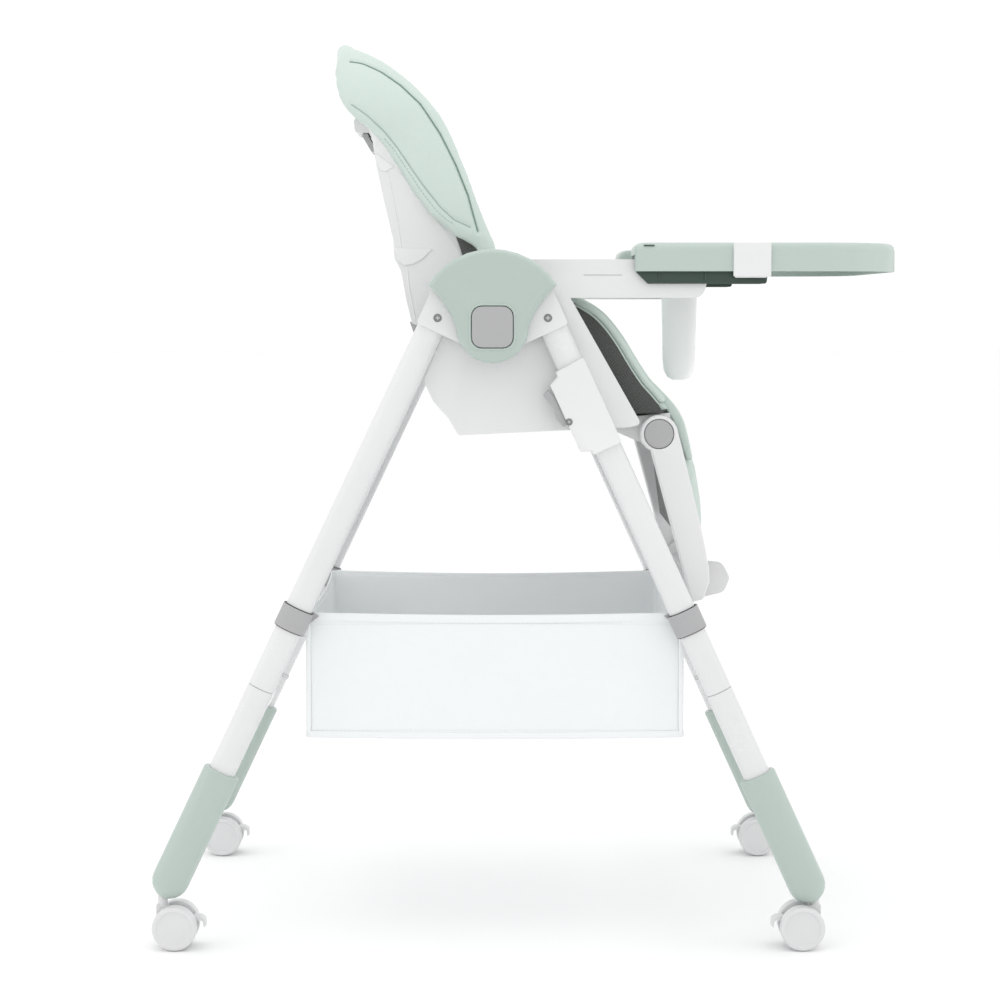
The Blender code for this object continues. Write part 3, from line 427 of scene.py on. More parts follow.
def soften(node, width):
    """Rounds the sharp edges of a closed mesh and evens out its shading."""
    for attribute in ("custom_normal", "sharp_edge", "sharp_face"):
        if attribute in node.data.attributes:
            node.data.attributes.remove(node.data.attributes[attribute])
    node.data.shade_smooth()
    weld = node.modifiers.new("weld", "WELD")
    weld.merge_threshold = 0.00001
    bevel = node.modifiers.new("bevel", "BEVEL")
    bevel.width, bevel.segments = width, 2
    bevel.limit_method, bevel.angle_limit = "ANGLE", radians(32)
    bevel.use_clamp_overlap = True
    bevel.miter_outer = "MITER_ARC"
    even = node.modifiers.new("even", "WEIGHTED_NORMAL")
    even.keep_sharp = False
    even.weight = 50


# --- making meshes ------------------------------------


def add_piece(name, mesh, finish, smooth=40):
    """Puts a mesh in the scene with one finish, and smooth except at sharp edges."""
    piece = bpy.data.objects.new(name, mesh)
    bpy.context.scene.collection.objects.link(piece)
    mesh.materials.clear()
    mesh.materials.append(finish)
    mesh.shade_smooth()
    if smooth:
        mesh.set_sharp_from_angle(angle=radians(smooth))
    return piece


def loft(name, rings, caps=True, wrap=True):
    """A skin through rings of equally many points, with its faces turned outwards."""
    shape = bmesh.new()
    rows = [[shape.verts.new(point) for point in ring] for ring in rings]
    count = len(rows[0])
    for low, high in zip(rows, rows[1:]):
        for a in range(count if wrap else count - 1):
            b = (a + 1) % count
            shape.faces.new((low[a], low[b], high[b], high[a]))
    if caps:
        shape.faces.new(rows[0])
        shape.faces.new(list(reversed(rows[-1])))
    bmesh.ops.recalc_face_normals(shape, faces=shape.faces)
    mesh = bpy.data.meshes.new(name)
    shape.to_mesh(mesh)
    shape.free()
    return mesh


def joined(name, meshes):
    """Several meshes as one, each still its own closed shell."""
    shape = bmesh.new()
    for mesh in meshes:
        shape.from_mesh(mesh)
        bpy.data.meshes.remove(mesh)
    whole = bpy.data.meshes.new(name)
    shape.to_mesh(whole)
    shape.free()
    return whole


def evaluated(piece):
    """A piece's mesh with its modifiers applied."""
    bpy.context.view_layer.update()
    return bpy.data.meshes.new_from_object(piece.evaluated_get(bpy.context.evaluated_depsgraph_get()))


def settle(piece):
    """Applies every modifier on a piece."""
    done, old = evaluated(piece), piece.data
    piece.modifiers.clear()
    piece.data = done
    bpy.data.meshes.remove(old)
    return piece


def blended_line(points, steps):
    """A smooth line through a few points, as evenly spaced points (Catmull-Rom)."""
    fine = []
    ends = [points[0], *points, points[-1]]
    for before, start, stop, after in zip(ends, ends[1:], ends[2:], ends[3:]):
        p0, p1, p2, p3 = (np.array(p, float) for p in (before, start, stop, after))
        for step in range(12):
            t = step / 12
            bend, twist = 2 * p0 - 5 * p1 + 4 * p2 - p3, 3 * p1 - p0 - 3 * p2 + p3
            fine.append(0.5 * (2 * p1 + (p2 - p0) * t + bend * t**2 + twist * t**3))
    fine.append(np.array(points[-1], float))
    return even(fine, steps)


def even(points, steps):
    """The same line with its points an equal distance apart."""
    line = np.array(points, float)
    run = np.concatenate([[0.0], np.cumsum(np.linalg.norm(np.diff(line, axis=0), axis=1))])
    marks = np.linspace(0.0, run[-1], steps + 1)
    return np.stack([np.interp(marks, run, line[:, axis]) for axis in range(line.shape[1])], axis=1)


def tube(name, line, radius, sides=10, flat=1.0, up=(0.0, 1.0, 0.0)):
    """A round or flattened tube along a line, with domed ends."""
    line = np.array(line, float)
    runs = np.gradient(line, axis=0)
    runs /= np.linalg.norm(runs, axis=1)[:, None]
    side = np.cross(runs, np.array(up, float))
    side /= np.maximum(np.linalg.norm(side, axis=1), 1e-9)[:, None]
    top = np.cross(side, runs)
    rings = []
    for place, point in enumerate(line):
        size = radius * (0.55 if place in (0, len(line) - 1) else 1.0)
        turns = 2 * pi * np.arange(sides) / sides
        ring = np.cos(turns)[:, None] * side[place] + flat * np.sin(turns)[:, None] * top[place]
        rings.append(point + size * ring)
    return loft(name, rings)


def stitches(name, line, pitch=0.0042, length=0.0027, radius=0.00042, up=(0.0, 1.0, 0.0)):
    """A row of short raised threads along a line."""
    run = np.linalg.norm(np.diff(np.array(line, float), axis=0), axis=1).sum()
    count = max(2, int(run / pitch))
    fine = even(line, count * 6)
    meshes = []
    share = length / pitch
    for step in range(count):
        start, stop = step * 6, step * 6 + max(2, round(6 * share))
        meshes.append(tube("thread", fine[start : stop + 1], radius, 5, up=up))
    return joined(name, meshes)


def tree_of(piece):
    points = [v.co.copy() for v in piece.data.vertices]
    return BVHTree.FromPolygons(points, [tuple(p.vertices) for p in piece.data.polygons])


def laid_on(piece, starts, outward, lift):
    """Points dropped onto a piece from outside it, then lifted off its surface."""
    tree = tree_of(piece)
    found = []
    for start, away in zip(starts, outward):
        away = Vector(away).normalized()
        hit, normal, _, _ = tree.ray_cast(Vector(start) + away * 0.05, -away, 0.1)
        if hit is not None:
            found.append(hit + (normal if normal.dot(away) > 0 else -normal) * lift)
    return found


def press(piece, line, width, depth):
    """Sinks a seam into a piece along a line on its surface."""
    fine = even(line, max(2, int(len(line) * 4)))
    near = KDTree(len(fine))
    for index, point in enumerate(fine):
        near.insert(Vector(point), index)
    near.balance()
    mesh = piece.data
    normals = [v.normal.copy() for v in mesh.vertices]
    for vertex, normal in zip(mesh.vertices, normals):
        _, _, gap = near.find(vertex.co)
        if gap < width * 3:
            vertex.co -= normal * depth * exp(-((gap / width) ** 2))
    mesh.update()


def inflate(piece, swell, hold):
    """Fills a pad by cloth simulation: each point may move by swell times hold at most."""
    before = np.array([v.co for v in piece.data.vertices], float)
    facing = np.array([v.normal for v in piece.data.vertices], float)
    cloth = piece.modifiers.new("cloth", "CLOTH")
    cloth.settings.quality = 5
    cloth.settings.mass = 0.3
    cloth.settings.tension_stiffness = 12
    cloth.settings.compression_stiffness = 12
    cloth.settings.shear_stiffness = 4
    cloth.settings.bending_stiffness = 0.4
    cloth.settings.use_pressure = True
    cloth.settings.uniform_pressure_force = 4
    cloth.settings.effector_weights.gravity = 0
    cloth.point_cache.frame_start, cloth.point_cache.frame_end = 1, 20
    scene = bpy.context.scene
    for tick in range(1, 21):
        scene.frame_set(tick)
    filled = evaluated(piece)
    after = np.array([v.co for v in filled.vertices], float)
    piece.modifiers.remove(cloth)
    bpy.data.meshes.remove(filled)
    scene.frame_set(1)
    move = after - before
    far = np.linalg.norm(move, axis=1)
    limit = swell * np.array([hold(point, normal) for point, normal in zip(before, facing)])
    move *= (np.minimum(far, limit) / np.maximum(far, 1e-9))[:, None]
    piece.data.vertices.foreach_set("co", (before + move).astype(np.float32).ravel())
    piece.data.update()


def stuffed(name, mesh, finish, voxel, shrink, swell, hold):
    """A padded piece: remeshed evenly, drawn in, filled by simulation and smoothed."""
    piece = add_piece(name, mesh, finish, smooth=0)
    remesh = piece.modifiers.new("remesh", "REMESH")
    remesh.mode, remesh.voxel_size = "VOXEL", voxel
    relax = piece.modifiers.new("relax", "SMOOTH")
    relax.factor, relax.iterations = 0.6, 8
    draw_in = piece.modifiers.new("draw_in", "DISPLACE")
    draw_in.strength, draw_in.mid_level = -shrink, 0.0
    settle(piece)
    inflate(piece, swell, hold)
    settled = piece.modifiers.new("settled", "SMOOTH")
    settled.factor, settled.iterations = 0.5, 3
    fine = piece.modifiers.new("fine", "SUBSURF")
    fine.levels = fine.render_levels = 1
    settle(piece)
    piece.data.materials.clear()
    piece.data.materials.append(finish)
    piece.data.shade_smooth()
    return piece


# --- back cushion -------------------------------------

WING_FOOT, WING_SHOULDER, WING_TOP = (0.1830, 0.7760), (0.1735, 0.9300), 1.0325
WING_STRAIGHT = 0.62  # share of the climb before the wing turns over the top
WING_THICK = 0.0240


def wing_outside(climb):
    """Outer line of the horseshoe from the front: (across, up, outward turn)."""
    foot_y, foot_z = WING_FOOT
    shoulder_y, shoulder_z = WING_SHOULDER
    if climb < WING_STRAIGHT:
        t = climb / WING_STRAIGHT
        return foot_y + (shoulder_y - foot_y) * t * t, foot_z + (shoulder_z - foot_z) * t, 0.0
    turn = pi / 2 * (climb - WING_STRAIGHT) / (1 - WING_STRAIGHT)
    return shoulder_y * cos(turn) ** 0.85, shoulder_z + (WING_TOP - shoulder_z) * sin(turn), turn


# (share of the climb, place) of the wings' rear and nose edges
WING_REAR = [(0.00, -0.0520), (0.05, -0.0570), (0.10, -0.0800), (0.20, -0.1103), (0.30, -0.1284)]
WING_REAR += [(0.40, -0.1426), (0.50, -0.1588), (0.56, -0.1732), (0.62, -0.1890), (0.66, -0.2043)]
WING_REAR += [(0.70, -0.2128), (0.75, -0.2176), (0.80, -0.2207), (0.90, -0.2217), (0.95, -0.2239)]
WING_REAR += [(1.00, -0.2267)]
WING_NOSE = [(0.00, -0.0301), (0.05, -0.0326), (0.10, -0.0365), (0.20, -0.0468), (0.30, -0.0560)]
WING_NOSE += [(0.40, -0.0651), (0.50, -0.0755), (0.56, -0.0816), (0.62, -0.0891), (0.66, -0.0984)]
WING_NOSE += [(0.70, -0.1113), (0.75, -0.1291), (0.80, -0.1505), (0.85, -0.1727), (0.90, -0.1960)]
WING_NOSE += [(0.95, -0.2030), (1.00, -0.2060)]
# (height, place) of the two seams on the wings' outer face
NOSE_SEAM = [(0.8057, -0.0545), (0.8473, -0.0658), (0.8811, -0.0794), (0.9170, -0.0974), (0.9506, -0.1199)]
NOSE_SEAM += [(0.9718, -0.1424), (0.9874, -0.1649), (0.9986, -0.1874), (1.0060, -0.2160)]
REAR_SEAM = [(0.8110, -0.0630), (0.8193, -0.0814), (0.8333, -0.0967), (0.8550, -0.1142), (0.8764, -0.1294)]
REAR_SEAM += [(0.9020, -0.1469), (0.9185, -0.1600), (0.9370, -0.1796), (0.9510, -0.1985)]


def wing_reach(climb):
    """How far back and forward the horseshoe goes at a place on its climb."""
    return np.interp(climb, *zip(*WING_REAR)), np.interp(climb, *zip(*WING_NOSE))


def wing_place(share, across):
    """A point on the horseshoe's outer face, from 0 at the rear to 1 at the nose, and its outward way."""
    sign = -1.0 if share < 0 else 1.0
    y, z, turn = wing_outside(1 - abs(share))
    rear, nose = wing_reach(1 - abs(share))
    return (rear + (nose - rear) * across, sign * y, z), (0.0, sign * cos(turn), sin(turn))


def wing_ring(share):
    """One cut across the horseshoe: a crowned outer face, a round nose and a flatter inner face."""
    sign = -1.0 if share < 0 else 1.0
    y, z, turn = wing_outside(1 - abs(share))
    rear, nose = wing_reach(1 - abs(share))
    deep = nose - rear
    crown = min(0.0050, 0.10 * deep)
    thick = min(WING_THICK, 0.8 * deep)
    ring = []
    for step in range(28):
        turn_here = 2 * pi * step / 28
        along = 0.5 - 0.5 * abs(cos(turn_here)) ** 0.55 * (1 if cos(turn_here) > 0 else -1)
        inward = 0.5 + 0.5 * abs(sin(turn_here)) ** 0.7 * (1 if sin(turn_here) > 0 else -1)
        depth = thick * inward - crown * (4 * along * (1 - along)) * (1 if inward < 0.5 else 0.2)
        ring.append((rear + deep * along, sign * (y - depth * cos(turn)), z - depth * sin(turn)))
    return ring


def back_pad_mesh():
    """The pad between the wings, crowned towards the child."""
    stations = [(0.668, -0.112, -0.094, 0.1440), (0.720, -0.125, -0.102, 0.1560)]
    stations += [(0.800, -0.141, -0.117, 0.1590), (0.880, -0.160, -0.134, 0.1600)]
    stations += [(0.920, -0.167, -0.147, 0.1600), (0.944, -0.180, -0.158, 0.1600)]
    stations += [(0.951, -0.200, -0.161, 0.1570), (0.980, -0.211, -0.176, 0.1380)]
    stations.append((1.010, -0.219, -0.196, 0.0850))
    rings = []
    for z, rear, front, half in stations:
        ring = []
        for step in range(17):
            across = -1 + step / 8
            ring.append((front + 0.006 * (1 - across * across), half * across, z))
        ring += [(rear, half, z), (rear, -half, z)]
        rings.append(ring)
    return loft("pad", rings)


def back_hold(point, normal):
    """Where the back cushion may swell: not against the shell behind it."""
    if normal[0] < -0.3 and abs(point[1]) < 0.168 and point[2] < 0.93:
        return 0.05
    if abs(point[1]) > 0.160 and point[2] < 0.80:
        return 0.3
    return 1.0


def seam_line(piece, across, lift, start, stop, steps=140):
    """A line on the horseshoe's outer face between two shares of its run, dropped on the cushion."""
    starts, ways = [], []
    for step in range(steps + 1):
        share = start + (stop - start) * step / steps
        spot, away = wing_place(share, across(share))
        starts.append(spot)
        ways.append(away)
    return laid_on(piece, starts, ways, lift)


def share_of(seam, share):
    """How far across the horseshoe's outer face a seam of (height, place) points runs."""
    climb = 1 - abs(share)
    rear, nose = wing_reach(climb)
    place = np.interp(wing_outside(climb)[1], *zip(*seam))
    return min(0.97, max(0.03, (place - rear) / (nose - rear)))


def nose_share(share):
    return share_of(NOSE_SEAM, share)


def rear_share(share):
    return share_of(REAR_SEAM, share)


def make_back_cushion():
    rings = [wing_ring(-1 + 2 * step / 120) for step in range(121)]
    base = joined("back_base", [loft("wings", rings), back_pad_mesh()])
    cushion = stuffed("back_cushion_cover", base, PAD, 0.0040, 0.0008, 0.0020, back_hold)
    seams = []
    for side, sign in SIDES:
        seams.append((f"nose_{side}", nose_share, sign * 0.88, sign * 0.19, 0.0009, SEAM_SHADOW_DEEP, 0.0024))
        seams.append((f"rear_{side}", rear_share, sign * 0.86, sign * 0.33, 0.0006, SEAM_SHADOW_FAINT, 0.0015))
    for _, across, start, stop, _, _, depth in seams:
        press(cushion, seam_line(cushion, across, 0.0, start, stop), 0.0026, depth)
    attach(cushion, "back")
    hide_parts("back_cushion")
    pieces = []
    # a dark tube lies in each seam's groove: a painted shadow line
    for name, across, start, stop, radius, finish, _ in seams:
        line = seam_line(cushion, across, 0.0001, start, stop)
        pieces.append(add_piece(f"back_{name}_seam", tube("seam", even(line, 240), radius, 8), finish))
    for side, sign in SIDES:
        line = seam_line(cushion, lambda share: rear_share(share) * 0.60, 0.0001, sign * 0.84, sign * 0.45)
        pieces.append(add_piece(f"back_hem_threads_{side}", stitches("t", line), THREAD))
    for piece in pieces:
        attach(piece, "back")


def plate(name, outline, inner, outer, finish, body, bevel=0.0006):
    """A flat piece cut to an outline of (x, z) points, between two distances across the chair."""
    mesh = loft(name, [[(x, inner, z) for x, z in outline], [(x, outer, z) for x, z in outline]])
    piece = add_piece(name, mesh, finish)
    if bevel:
        soften(piece, bevel)
    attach(piece, body)
    return piece


def make_back_lining():
    """Dark mesh below the wings, and the pad's cover over the inside of the shell's walls."""
    outline = [(-0.0800, 0.8020), (-0.0690, 0.7700), (-0.0440, 0.7700)]
    outline += [(-0.0450, 0.7930), (-0.0640, 0.8050)]
    for side, sign in SIDES:
        plate(f"back_lining_{side}", outline, sign * 0.1662, sign * 0.1680, LINING, "back")
    facing = [(-0.1440, 0.8980), (-0.1130, 0.8520), (-0.0880, 0.8180), (-0.0720, 0.8030), (-0.0620, 0.7720)]
    facing += [(-0.0640, 0.7200), (-0.1230, 0.7200), (-0.1400, 0.8000), (-0.1600, 0.8850)]
    for side, sign in SIDES:
        plate(f"back_facing_{side}", facing, sign * 0.1545, sign * 0.1609, PAD, "back", 0.0016)


# --- seat and leg cushions ----------------------------

SEAT_EDGE = [(0.0480, 0.7320), (0.0620, 0.7255), (0.0780, 0.7160), (0.0910, 0.7040), (0.1065, 0.6836)]
SEAT_EDGE += [(0.1202, 0.6609), (0.1351, 0.6383), (0.1470, 0.6250), (0.1560, 0.6140)]
KNEE_LINE = [(0.1470, 0.6330), (0.1540, 0.6255), (0.1690, 0.6095), (0.1785, 0.5940), (0.1840, 0.5765)]
KNEE_LINE += [(0.1880, 0.5587), (0.1902, 0.5475)]


def copy_of(node):
    return frame["nodes"][node].data.copy()


def seat_hold(_point, normal):
    """The seat cushion hardly swells underneath and at its sides."""
    if normal[2] < -0.4 or abs(normal[1]) > 0.7:
        return 0.15
    return 1.0


def make_seat_cushion():
    cushion = stuffed("seat_cushion_cover", copy_of("seat_cushion"), PAD, 0.0042, 0.0012, 0.0065, seat_hold)
    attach(cushion, "seat")
    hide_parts("seat_cushion")
    edge = blended_line(SEAT_EDGE, 40)
    for side, sign in SIDES:
        band = [(x, sign * 0.1935, z) for x, z in edge]
        rim = add_piece(f"seat_rim_{side}", tube("rim", band, 0.0052, 14), PAD)
        piping = [(x - 0.0052, sign * 0.1968, z - 0.0034) for x, z in edge]
        cord = add_piece(f"seat_piping_{side}", tube("piping", piping, 0.0011, 8), PIPING)
        inner = [(x - 0.0060, z - 0.0030) for x, z in edge]
        gusset = inner + [(0.1560, 0.6010), (0.1180, 0.6000), (0.0300, 0.6000), (0.0200, 0.7350)]
        near, far = sign * 0.1955, sign * 0.1972
        plate(f"seat_gusset_{side}", gusset, near, far, LINING, "seat")
        for piece in (rim, cord):
            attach(piece, "seat")


def knee_mesh():
    """A padded strip that rounds the knee, from the seat's front edge to the top of the leg pad."""
    outer = blended_line(KNEE_LINE, 30)
    runs = np.gradient(outer, axis=0)
    runs /= np.linalg.norm(runs, axis=1)[:, None]
    inward = np.stack([runs[:, 1], -runs[:, 0]], axis=1)
    rings = []
    for place, (point, way) in enumerate(zip(outer, inward)):
        share = place / (len(outer) - 1)
        thick = 0.0070 + 0.0040 * sin(pi * share)
        ring = []
        for step in range(33):
            across = -1 + step / 16
            crown = 0.0016 * (1 - across**6)
            ring.append((point[0] - way[0] * crown, 0.186 * across, point[1] - way[1] * crown))
        for step in range(33):
            across = 1 - step / 16
            ring.append((point[0] + way[0] * thick, 0.184 * across, point[1] + way[1] * thick))
        rings.append(ring)
    return loft("knee", rings)


def make_knee():
    knee = add_piece("knee_cover", knee_mesh(), PAD, smooth=60)
    soften(knee, 0.0022)
    settle(knee)
    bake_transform(knee)


def leg_hold(_point, normal):
    """The leg cushion swells less against the board behind it."""
    return 0.3 if normal[0] < -0.4 else 1.0


def leg_pad_mesh():
    rings = []
    for z, rear, front in ((0.4570, 0.1800, 0.1990), (0.5000, 0.1760, 0.1960), (0.5570, 0.1690, 0.1862)):
        rings.append([(rear, -0.182, z), (front, -0.182, z), (front, 0.182, z), (rear, 0.182, z)])
    return loft("leg_pad", rings)


def make_leg_cushion():
    cushion = stuffed("leg_cushion_cover", leg_pad_mesh(), PAD, 0.0036, 0.0010, 0.0060, leg_hold)
    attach(cushion, "leg_rest")
    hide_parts("leg_cushion")
    backing = [(0.1640, 0.5470), (0.1730, 0.5470), (0.1820, 0.4560), (0.1760, 0.4560)]
    plate("leg_rest_lining", backing, -0.1830, 0.1830, LINING, "leg_rest", 0.0015)


# --- basket -------------------------------------------


def basket_loop(inset, corner, height, bow, dip):
    """One level loop of the basket: bow pulls the middle of each side in, dip lets it hang lower."""
    low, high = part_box("basket")
    left, right = low.x + inset, high.x - inset
    half = high.y - inset
    points = []
    centres = ((right - corner, half - corner, 0), (left + corner, half - corner, 90))
    centres += ((left + corner, -half + corner, 180), (right - corner, -half + corner, 270))
    for index, (cx, cy, start) in enumerate(centres):
        for step in range(5):
            turn = radians(start + 22.5 * step)
            points.append((cx + corner * cos(turn), cy + corner * sin(turn), height))
        nx, ny, _ = centres[(index + 1) % 4]
        turn = radians(start + 90)
        a = np.array([cx + corner * cos(turn), cy + corner * sin(turn)])
        b = np.array([nx + corner * cos(turn), ny + corner * sin(turn)])
        for step in range(1, 24):
            t = step / 24
            spot = a + (b - a) * t
            pull = bow * sin(pi * t) ** 0.8
            spot -= pull * np.array([cos(turn), sin(turn)])
            points.append((spot[0], spot[1], height - dip * sin(pi * t)))
    return points


def basket_mesh():
    low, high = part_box("basket")
    top, bottom = high.z, low.z + 0.0020
    rings = []
    for step in range(19):
        t = step / 18
        height = top + (bottom - top) * t
        bow = 0.0045 * (1 - t) ** 2 - 0.0016 * sin(pi * t)
        dip = 0.0035 * (1 - t) + 0.0020 * t
        rings.append(basket_loop(0.0006, 0.008, height, bow, dip))
    for step in range(1, 9):
        t = step / 8
        inset = 0.0006 + 0.2050 * t
        sag = 0.0020 * sin(pi * t / 2)
        rings.append(basket_loop(inset, 0.008 * (1 - t) + 0.002, bottom - sag, 0.0, 0.0))
    shape = loft("basket", rings, caps=False)
    centre = bmesh.new()
    centre.from_mesh(shape)
    edges = [e for e in centre.edges if e.is_boundary and e.verts[0].co.z < top - 0.05]
    bmesh.ops.contextual_create(centre, geom=edges)
    bmesh.ops.recalc_face_normals(centre, faces=centre.faces)
    for vertex in centre.verts:
        vertex.co += crease(vertex.co, top, bottom)
    centre.to_mesh(shape)
    centre.free()
    return shape


def crease(point, top, bottom):
    """Soft folds: broad ripples, and slanting ones that run from the top corners."""
    low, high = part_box("basket")
    middle = (low + high) / 2
    up = (point.z - bottom) / (top - bottom)
    if up < 0.04:
        return Vector((0.0, 0.0, 0.0012 * turbulence(point * 7.0)))
    near_end = max(0.0, abs(point.x - middle.x) / (high.x - middle.x) - 0.55) / 0.45
    near_side = max(0.0, abs(point.y) / high.y - 0.6) / 0.4
    slant = sin(70 * (abs(point.x - middle.x) + 0.8 * point.z)) * near_end * sin(pi * min(1.0, up)) * 0.0024
    swirl = turbulence(Vector((point.x * 6, point.y * 6, point.z * 11)))
    ripple = 0.0026 * swirl * sin(pi * min(1.0, up * 0.9))
    wave = Vector((0.0, 0.0, 0.0))
    if abs(point.y) > high.y * 0.96:
        wave.y = (slant + ripple) * (1 if point.y > 0 else -1) * (1 - near_end**4)
    else:
        wave.x = ripple + 0.0016 * sin(55 * (abs(point.y) + point.z)) * near_side
        wave.x *= 1 if point.x > 0 else -1
    return wave


def turbulence(point):
    return mathutils_noise.noise(point) + 0.5 * mathutils_noise.noise(point * 2.1)


def make_basket():
    low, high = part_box("basket")
    cloth = add_piece("basket_cloth", basket_mesh(), CLOTH, smooth=0)
    skin = cloth.modifiers.new("skin", "SOLIDIFY")
    skin.thickness, skin.offset = 0.0014, -1.0
    fine = cloth.modifiers.new("fine", "SUBSURF")
    fine.levels = fine.render_levels = 1
    settle(cloth)
    hems = []
    top = basket_loop(0.0002, 0.008, high.z - 0.0010, 0.0042, 0.0034)
    hems.append(strip_round("basket_top_hem", top, 0.0095, 0.0022))
    foot = basket_loop(0.0000, 0.007, low.z + 0.0052, 0.0, 0.0020)
    hems.append(strip_round("basket_foot_hem", foot, 0.0080, 0.0020))
    hem = add_piece("basket_hems", joined("hems", hems), CLOTH, smooth=50)
    seams = []
    for sign in (-1.0, 1.0):
        for x in (low.x + 0.0030, high.x - 0.0030):
            y, tall = sign * (high.y + 0.0004), high.z - low.z
            line = [(x, y, low.z + tall * step / 20) for step in range(1, 20)]
            seams.append(tube("binding", line, 0.0028, 10, flat=0.34))
    binding = add_piece("basket_bindings", joined("bindings", seams), CLOTH, smooth=50)
    threads = []
    for sign in (-1.0, 1.0):
        y = sign * (high.y + 0.0013)
        for z in (high.z - 0.0100, low.z + 0.0098):
            line = [(low.x + 0.012 + (high.x - low.x - 0.024) * mark / 40, y, z) for mark in range(41)]
            threads.append((line, y))
        for x in (low.x + 0.0066, high.x - 0.0066):
            run = high.z - low.z - 0.024
            threads.append(([(x, y, low.z + 0.012 + run * mark / 20) for mark in range(21)], y))
    rows = []
    for line, y in threads:
        dropped = laid_on(cloth, line, [(0, y, 0)] * len(line), 0.0002)
        if len(dropped) > 3:
            rows.append(stitches("row", dropped, 0.0050, 0.0032, 0.00035))
    thread = add_piece("basket_threads", joined("rows", rows), WHITE_THREAD)
    for piece in (cloth, hem, binding, thread):
        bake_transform(piece)
    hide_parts("basket")


def strip_round(name, loop, tall, thick):
    """A folded band of cloth that follows a closed loop, standing on edge."""
    line = np.array(loop, float)
    ahead = np.roll(line, -1, axis=0) - np.roll(line, 1, axis=0)
    out = np.stack([ahead[:, 1], -ahead[:, 0], np.zeros(len(line))], axis=1)
    out /= np.linalg.norm(out, axis=1)[:, None]
    up = np.array([0.0, 0.0, 1.0])
    rings = []
    for turn in range(12):
        angle = 2 * pi * turn / 12
        bulge = abs(sin(angle)) ** 0.6 * (1 if sin(angle) > 0 else -1)
        rings.append(line + out * (thick / 2) * cos(angle) + up * (tall / 2) * bulge)
    shape = bmesh.new()
    rows = [[shape.verts.new(point) for point in ring] for ring in rings]
    count = len(line)
    for index in range(12):
        low, high = rows[index], rows[(index + 1) % 12]
        for a in range(count):
            b = (a + 1) % count
            shape.faces.new((low[a], low[b], high[b], high[a]))
    bmesh.ops.recalc_face_normals(shape, faces=shape.faces)
    mesh = bpy.data.meshes.new(name)
    shape.to_mesh(mesh)
    shape.free()
    return mesh


# --- screws, pins and small mouldings -----------------


def cross_radius(turn, long, half_wide):
    """Distance from the centre to the edge of a cross-shaped recess."""
    upright = min(long, half_wide / max(abs(cos(turn)), 1e-6))
    level = min(long, half_wide / max(abs(sin(turn)), 1e-6))
    return max(upright, level)


def screw_mesh(x, z, radius, face, sign):
    """A pan-head screw with a cross recess, its face at a distance across the chair."""
    profile = [(1.0, -0.0012, False), (1.0, 0.0, False), (0.88, 0.0007, False), (0.66, 0.0009, False)]
    profile += [(0.60, 0.0009, True), (0.50, -0.0006, True)]
    rings = []
    for share, out, crossed in profile:
        ring = []
        for step in range(32):
            turn = 2 * pi * step / 32
            reach = cross_radius(turn, radius * share, radius * 0.17) if crossed else radius * share
            ring.append((x + reach * cos(turn), sign * (face + out), z + reach * sin(turn)))
        rings.append(ring)
    return loft("screw", rings)


# (name, body, forward, up, head radius, distance across)
SCREWS = [("rear_ear", "rear_frame", -0.0986, 0.7088, 0.0046, 0.2657)]
SCREWS += [("front_ear", "front_frame", 0.0234, 0.7088, 0.0046, 0.2657)]
SCREWS += [("slider", "seat", 0.0468, 0.5940, 0.0040, 0.2682)]


def make_screws():
    for name, body, x, z, radius, face in SCREWS:
        for side, sign in SIDES:
            head = screw_mesh(x, z, radius, face, sign)
            screw = add_piece(f"{name}_screw_{side}", head, SCREW_STEEL, smooth=30)
            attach(screw, body)


LEG_LEAN = {"front": radians(24.6), "rear": radians(-25.4)}
PIN_AT = {"front": (0.1920, 0.3065), "rear": (-0.2700, 0.3080)}
PIN_DEPTHS = (-0.006, -0.002, 0.0014, 0.0028, 0.0034)


def make_pins():
    """Sprung buttons that show through the inner edge of each leg just below its joint."""
    for end in ("front", "rear"):
        x, z = PIN_AT[end]
        inward = -1.0 if end == "front" else 1.0
        way = (inward * cos(LEG_LEAN[end]), inward * sin(LEG_LEAN[end]))
        for side, sign in SIDES:
            line = [(x + way[0] * out, sign * LEG_Y, z + way[1] * out) for out in PIN_DEPTHS]
            pin = add_piece(f"{end}_snap_pin_{side}", tube("pin", line, 0.0024, 14), STEEL)
            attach(pin, f"{end}_frame")


CREST = [(-0.1730, 0.8960), (-0.1752, 0.9130), (-0.1800, 0.9250), (-0.1880, 0.9400), (-0.1760, 0.9400)]
CREST += [(-0.1620, 0.9180), (-0.1560, 0.8980), (-0.1600, 0.8800)]
COLLAR = [(-0.1712, 0.8960), (-0.1700, 0.8830), (-0.1660, 0.8760), (-0.1590, 0.8745), (-0.1500, 0.8800)]
CHEEK = [(-0.1680, 0.8960), (-0.1640, 0.9150), (-0.1440, 0.8990), (-0.1150, 0.8520), (-0.0900, 0.8180)]
CHEEK += [(-0.0740, 0.8020), (-0.0640, 0.7720), (-0.0760, 0.7760), (-0.0980, 0.8100), (-0.1235, 0.8430)]
STEP = [(-0.1500, 0.7880), (-0.1460, 0.7735), (-0.1390, 0.7680), (-0.1290, 0.7690), (-0.1180, 0.7750)]
STEP += [(-0.1060, 0.7870)]
BRACKET = [(-0.1330, 0.7040), (-0.1210, 0.7060), (-0.1190, 0.6980), (-0.1235, 0.6890), (-0.1280, 0.6900)]
UPPER_RIB = [(-0.1577, 0.8730), (-0.1490, 0.8290), (-0.1425, 0.7890)]
LOWER_RIB = [(-0.1360, 0.7660), (-0.1330, 0.7400), (-0.1262, 0.7060)]


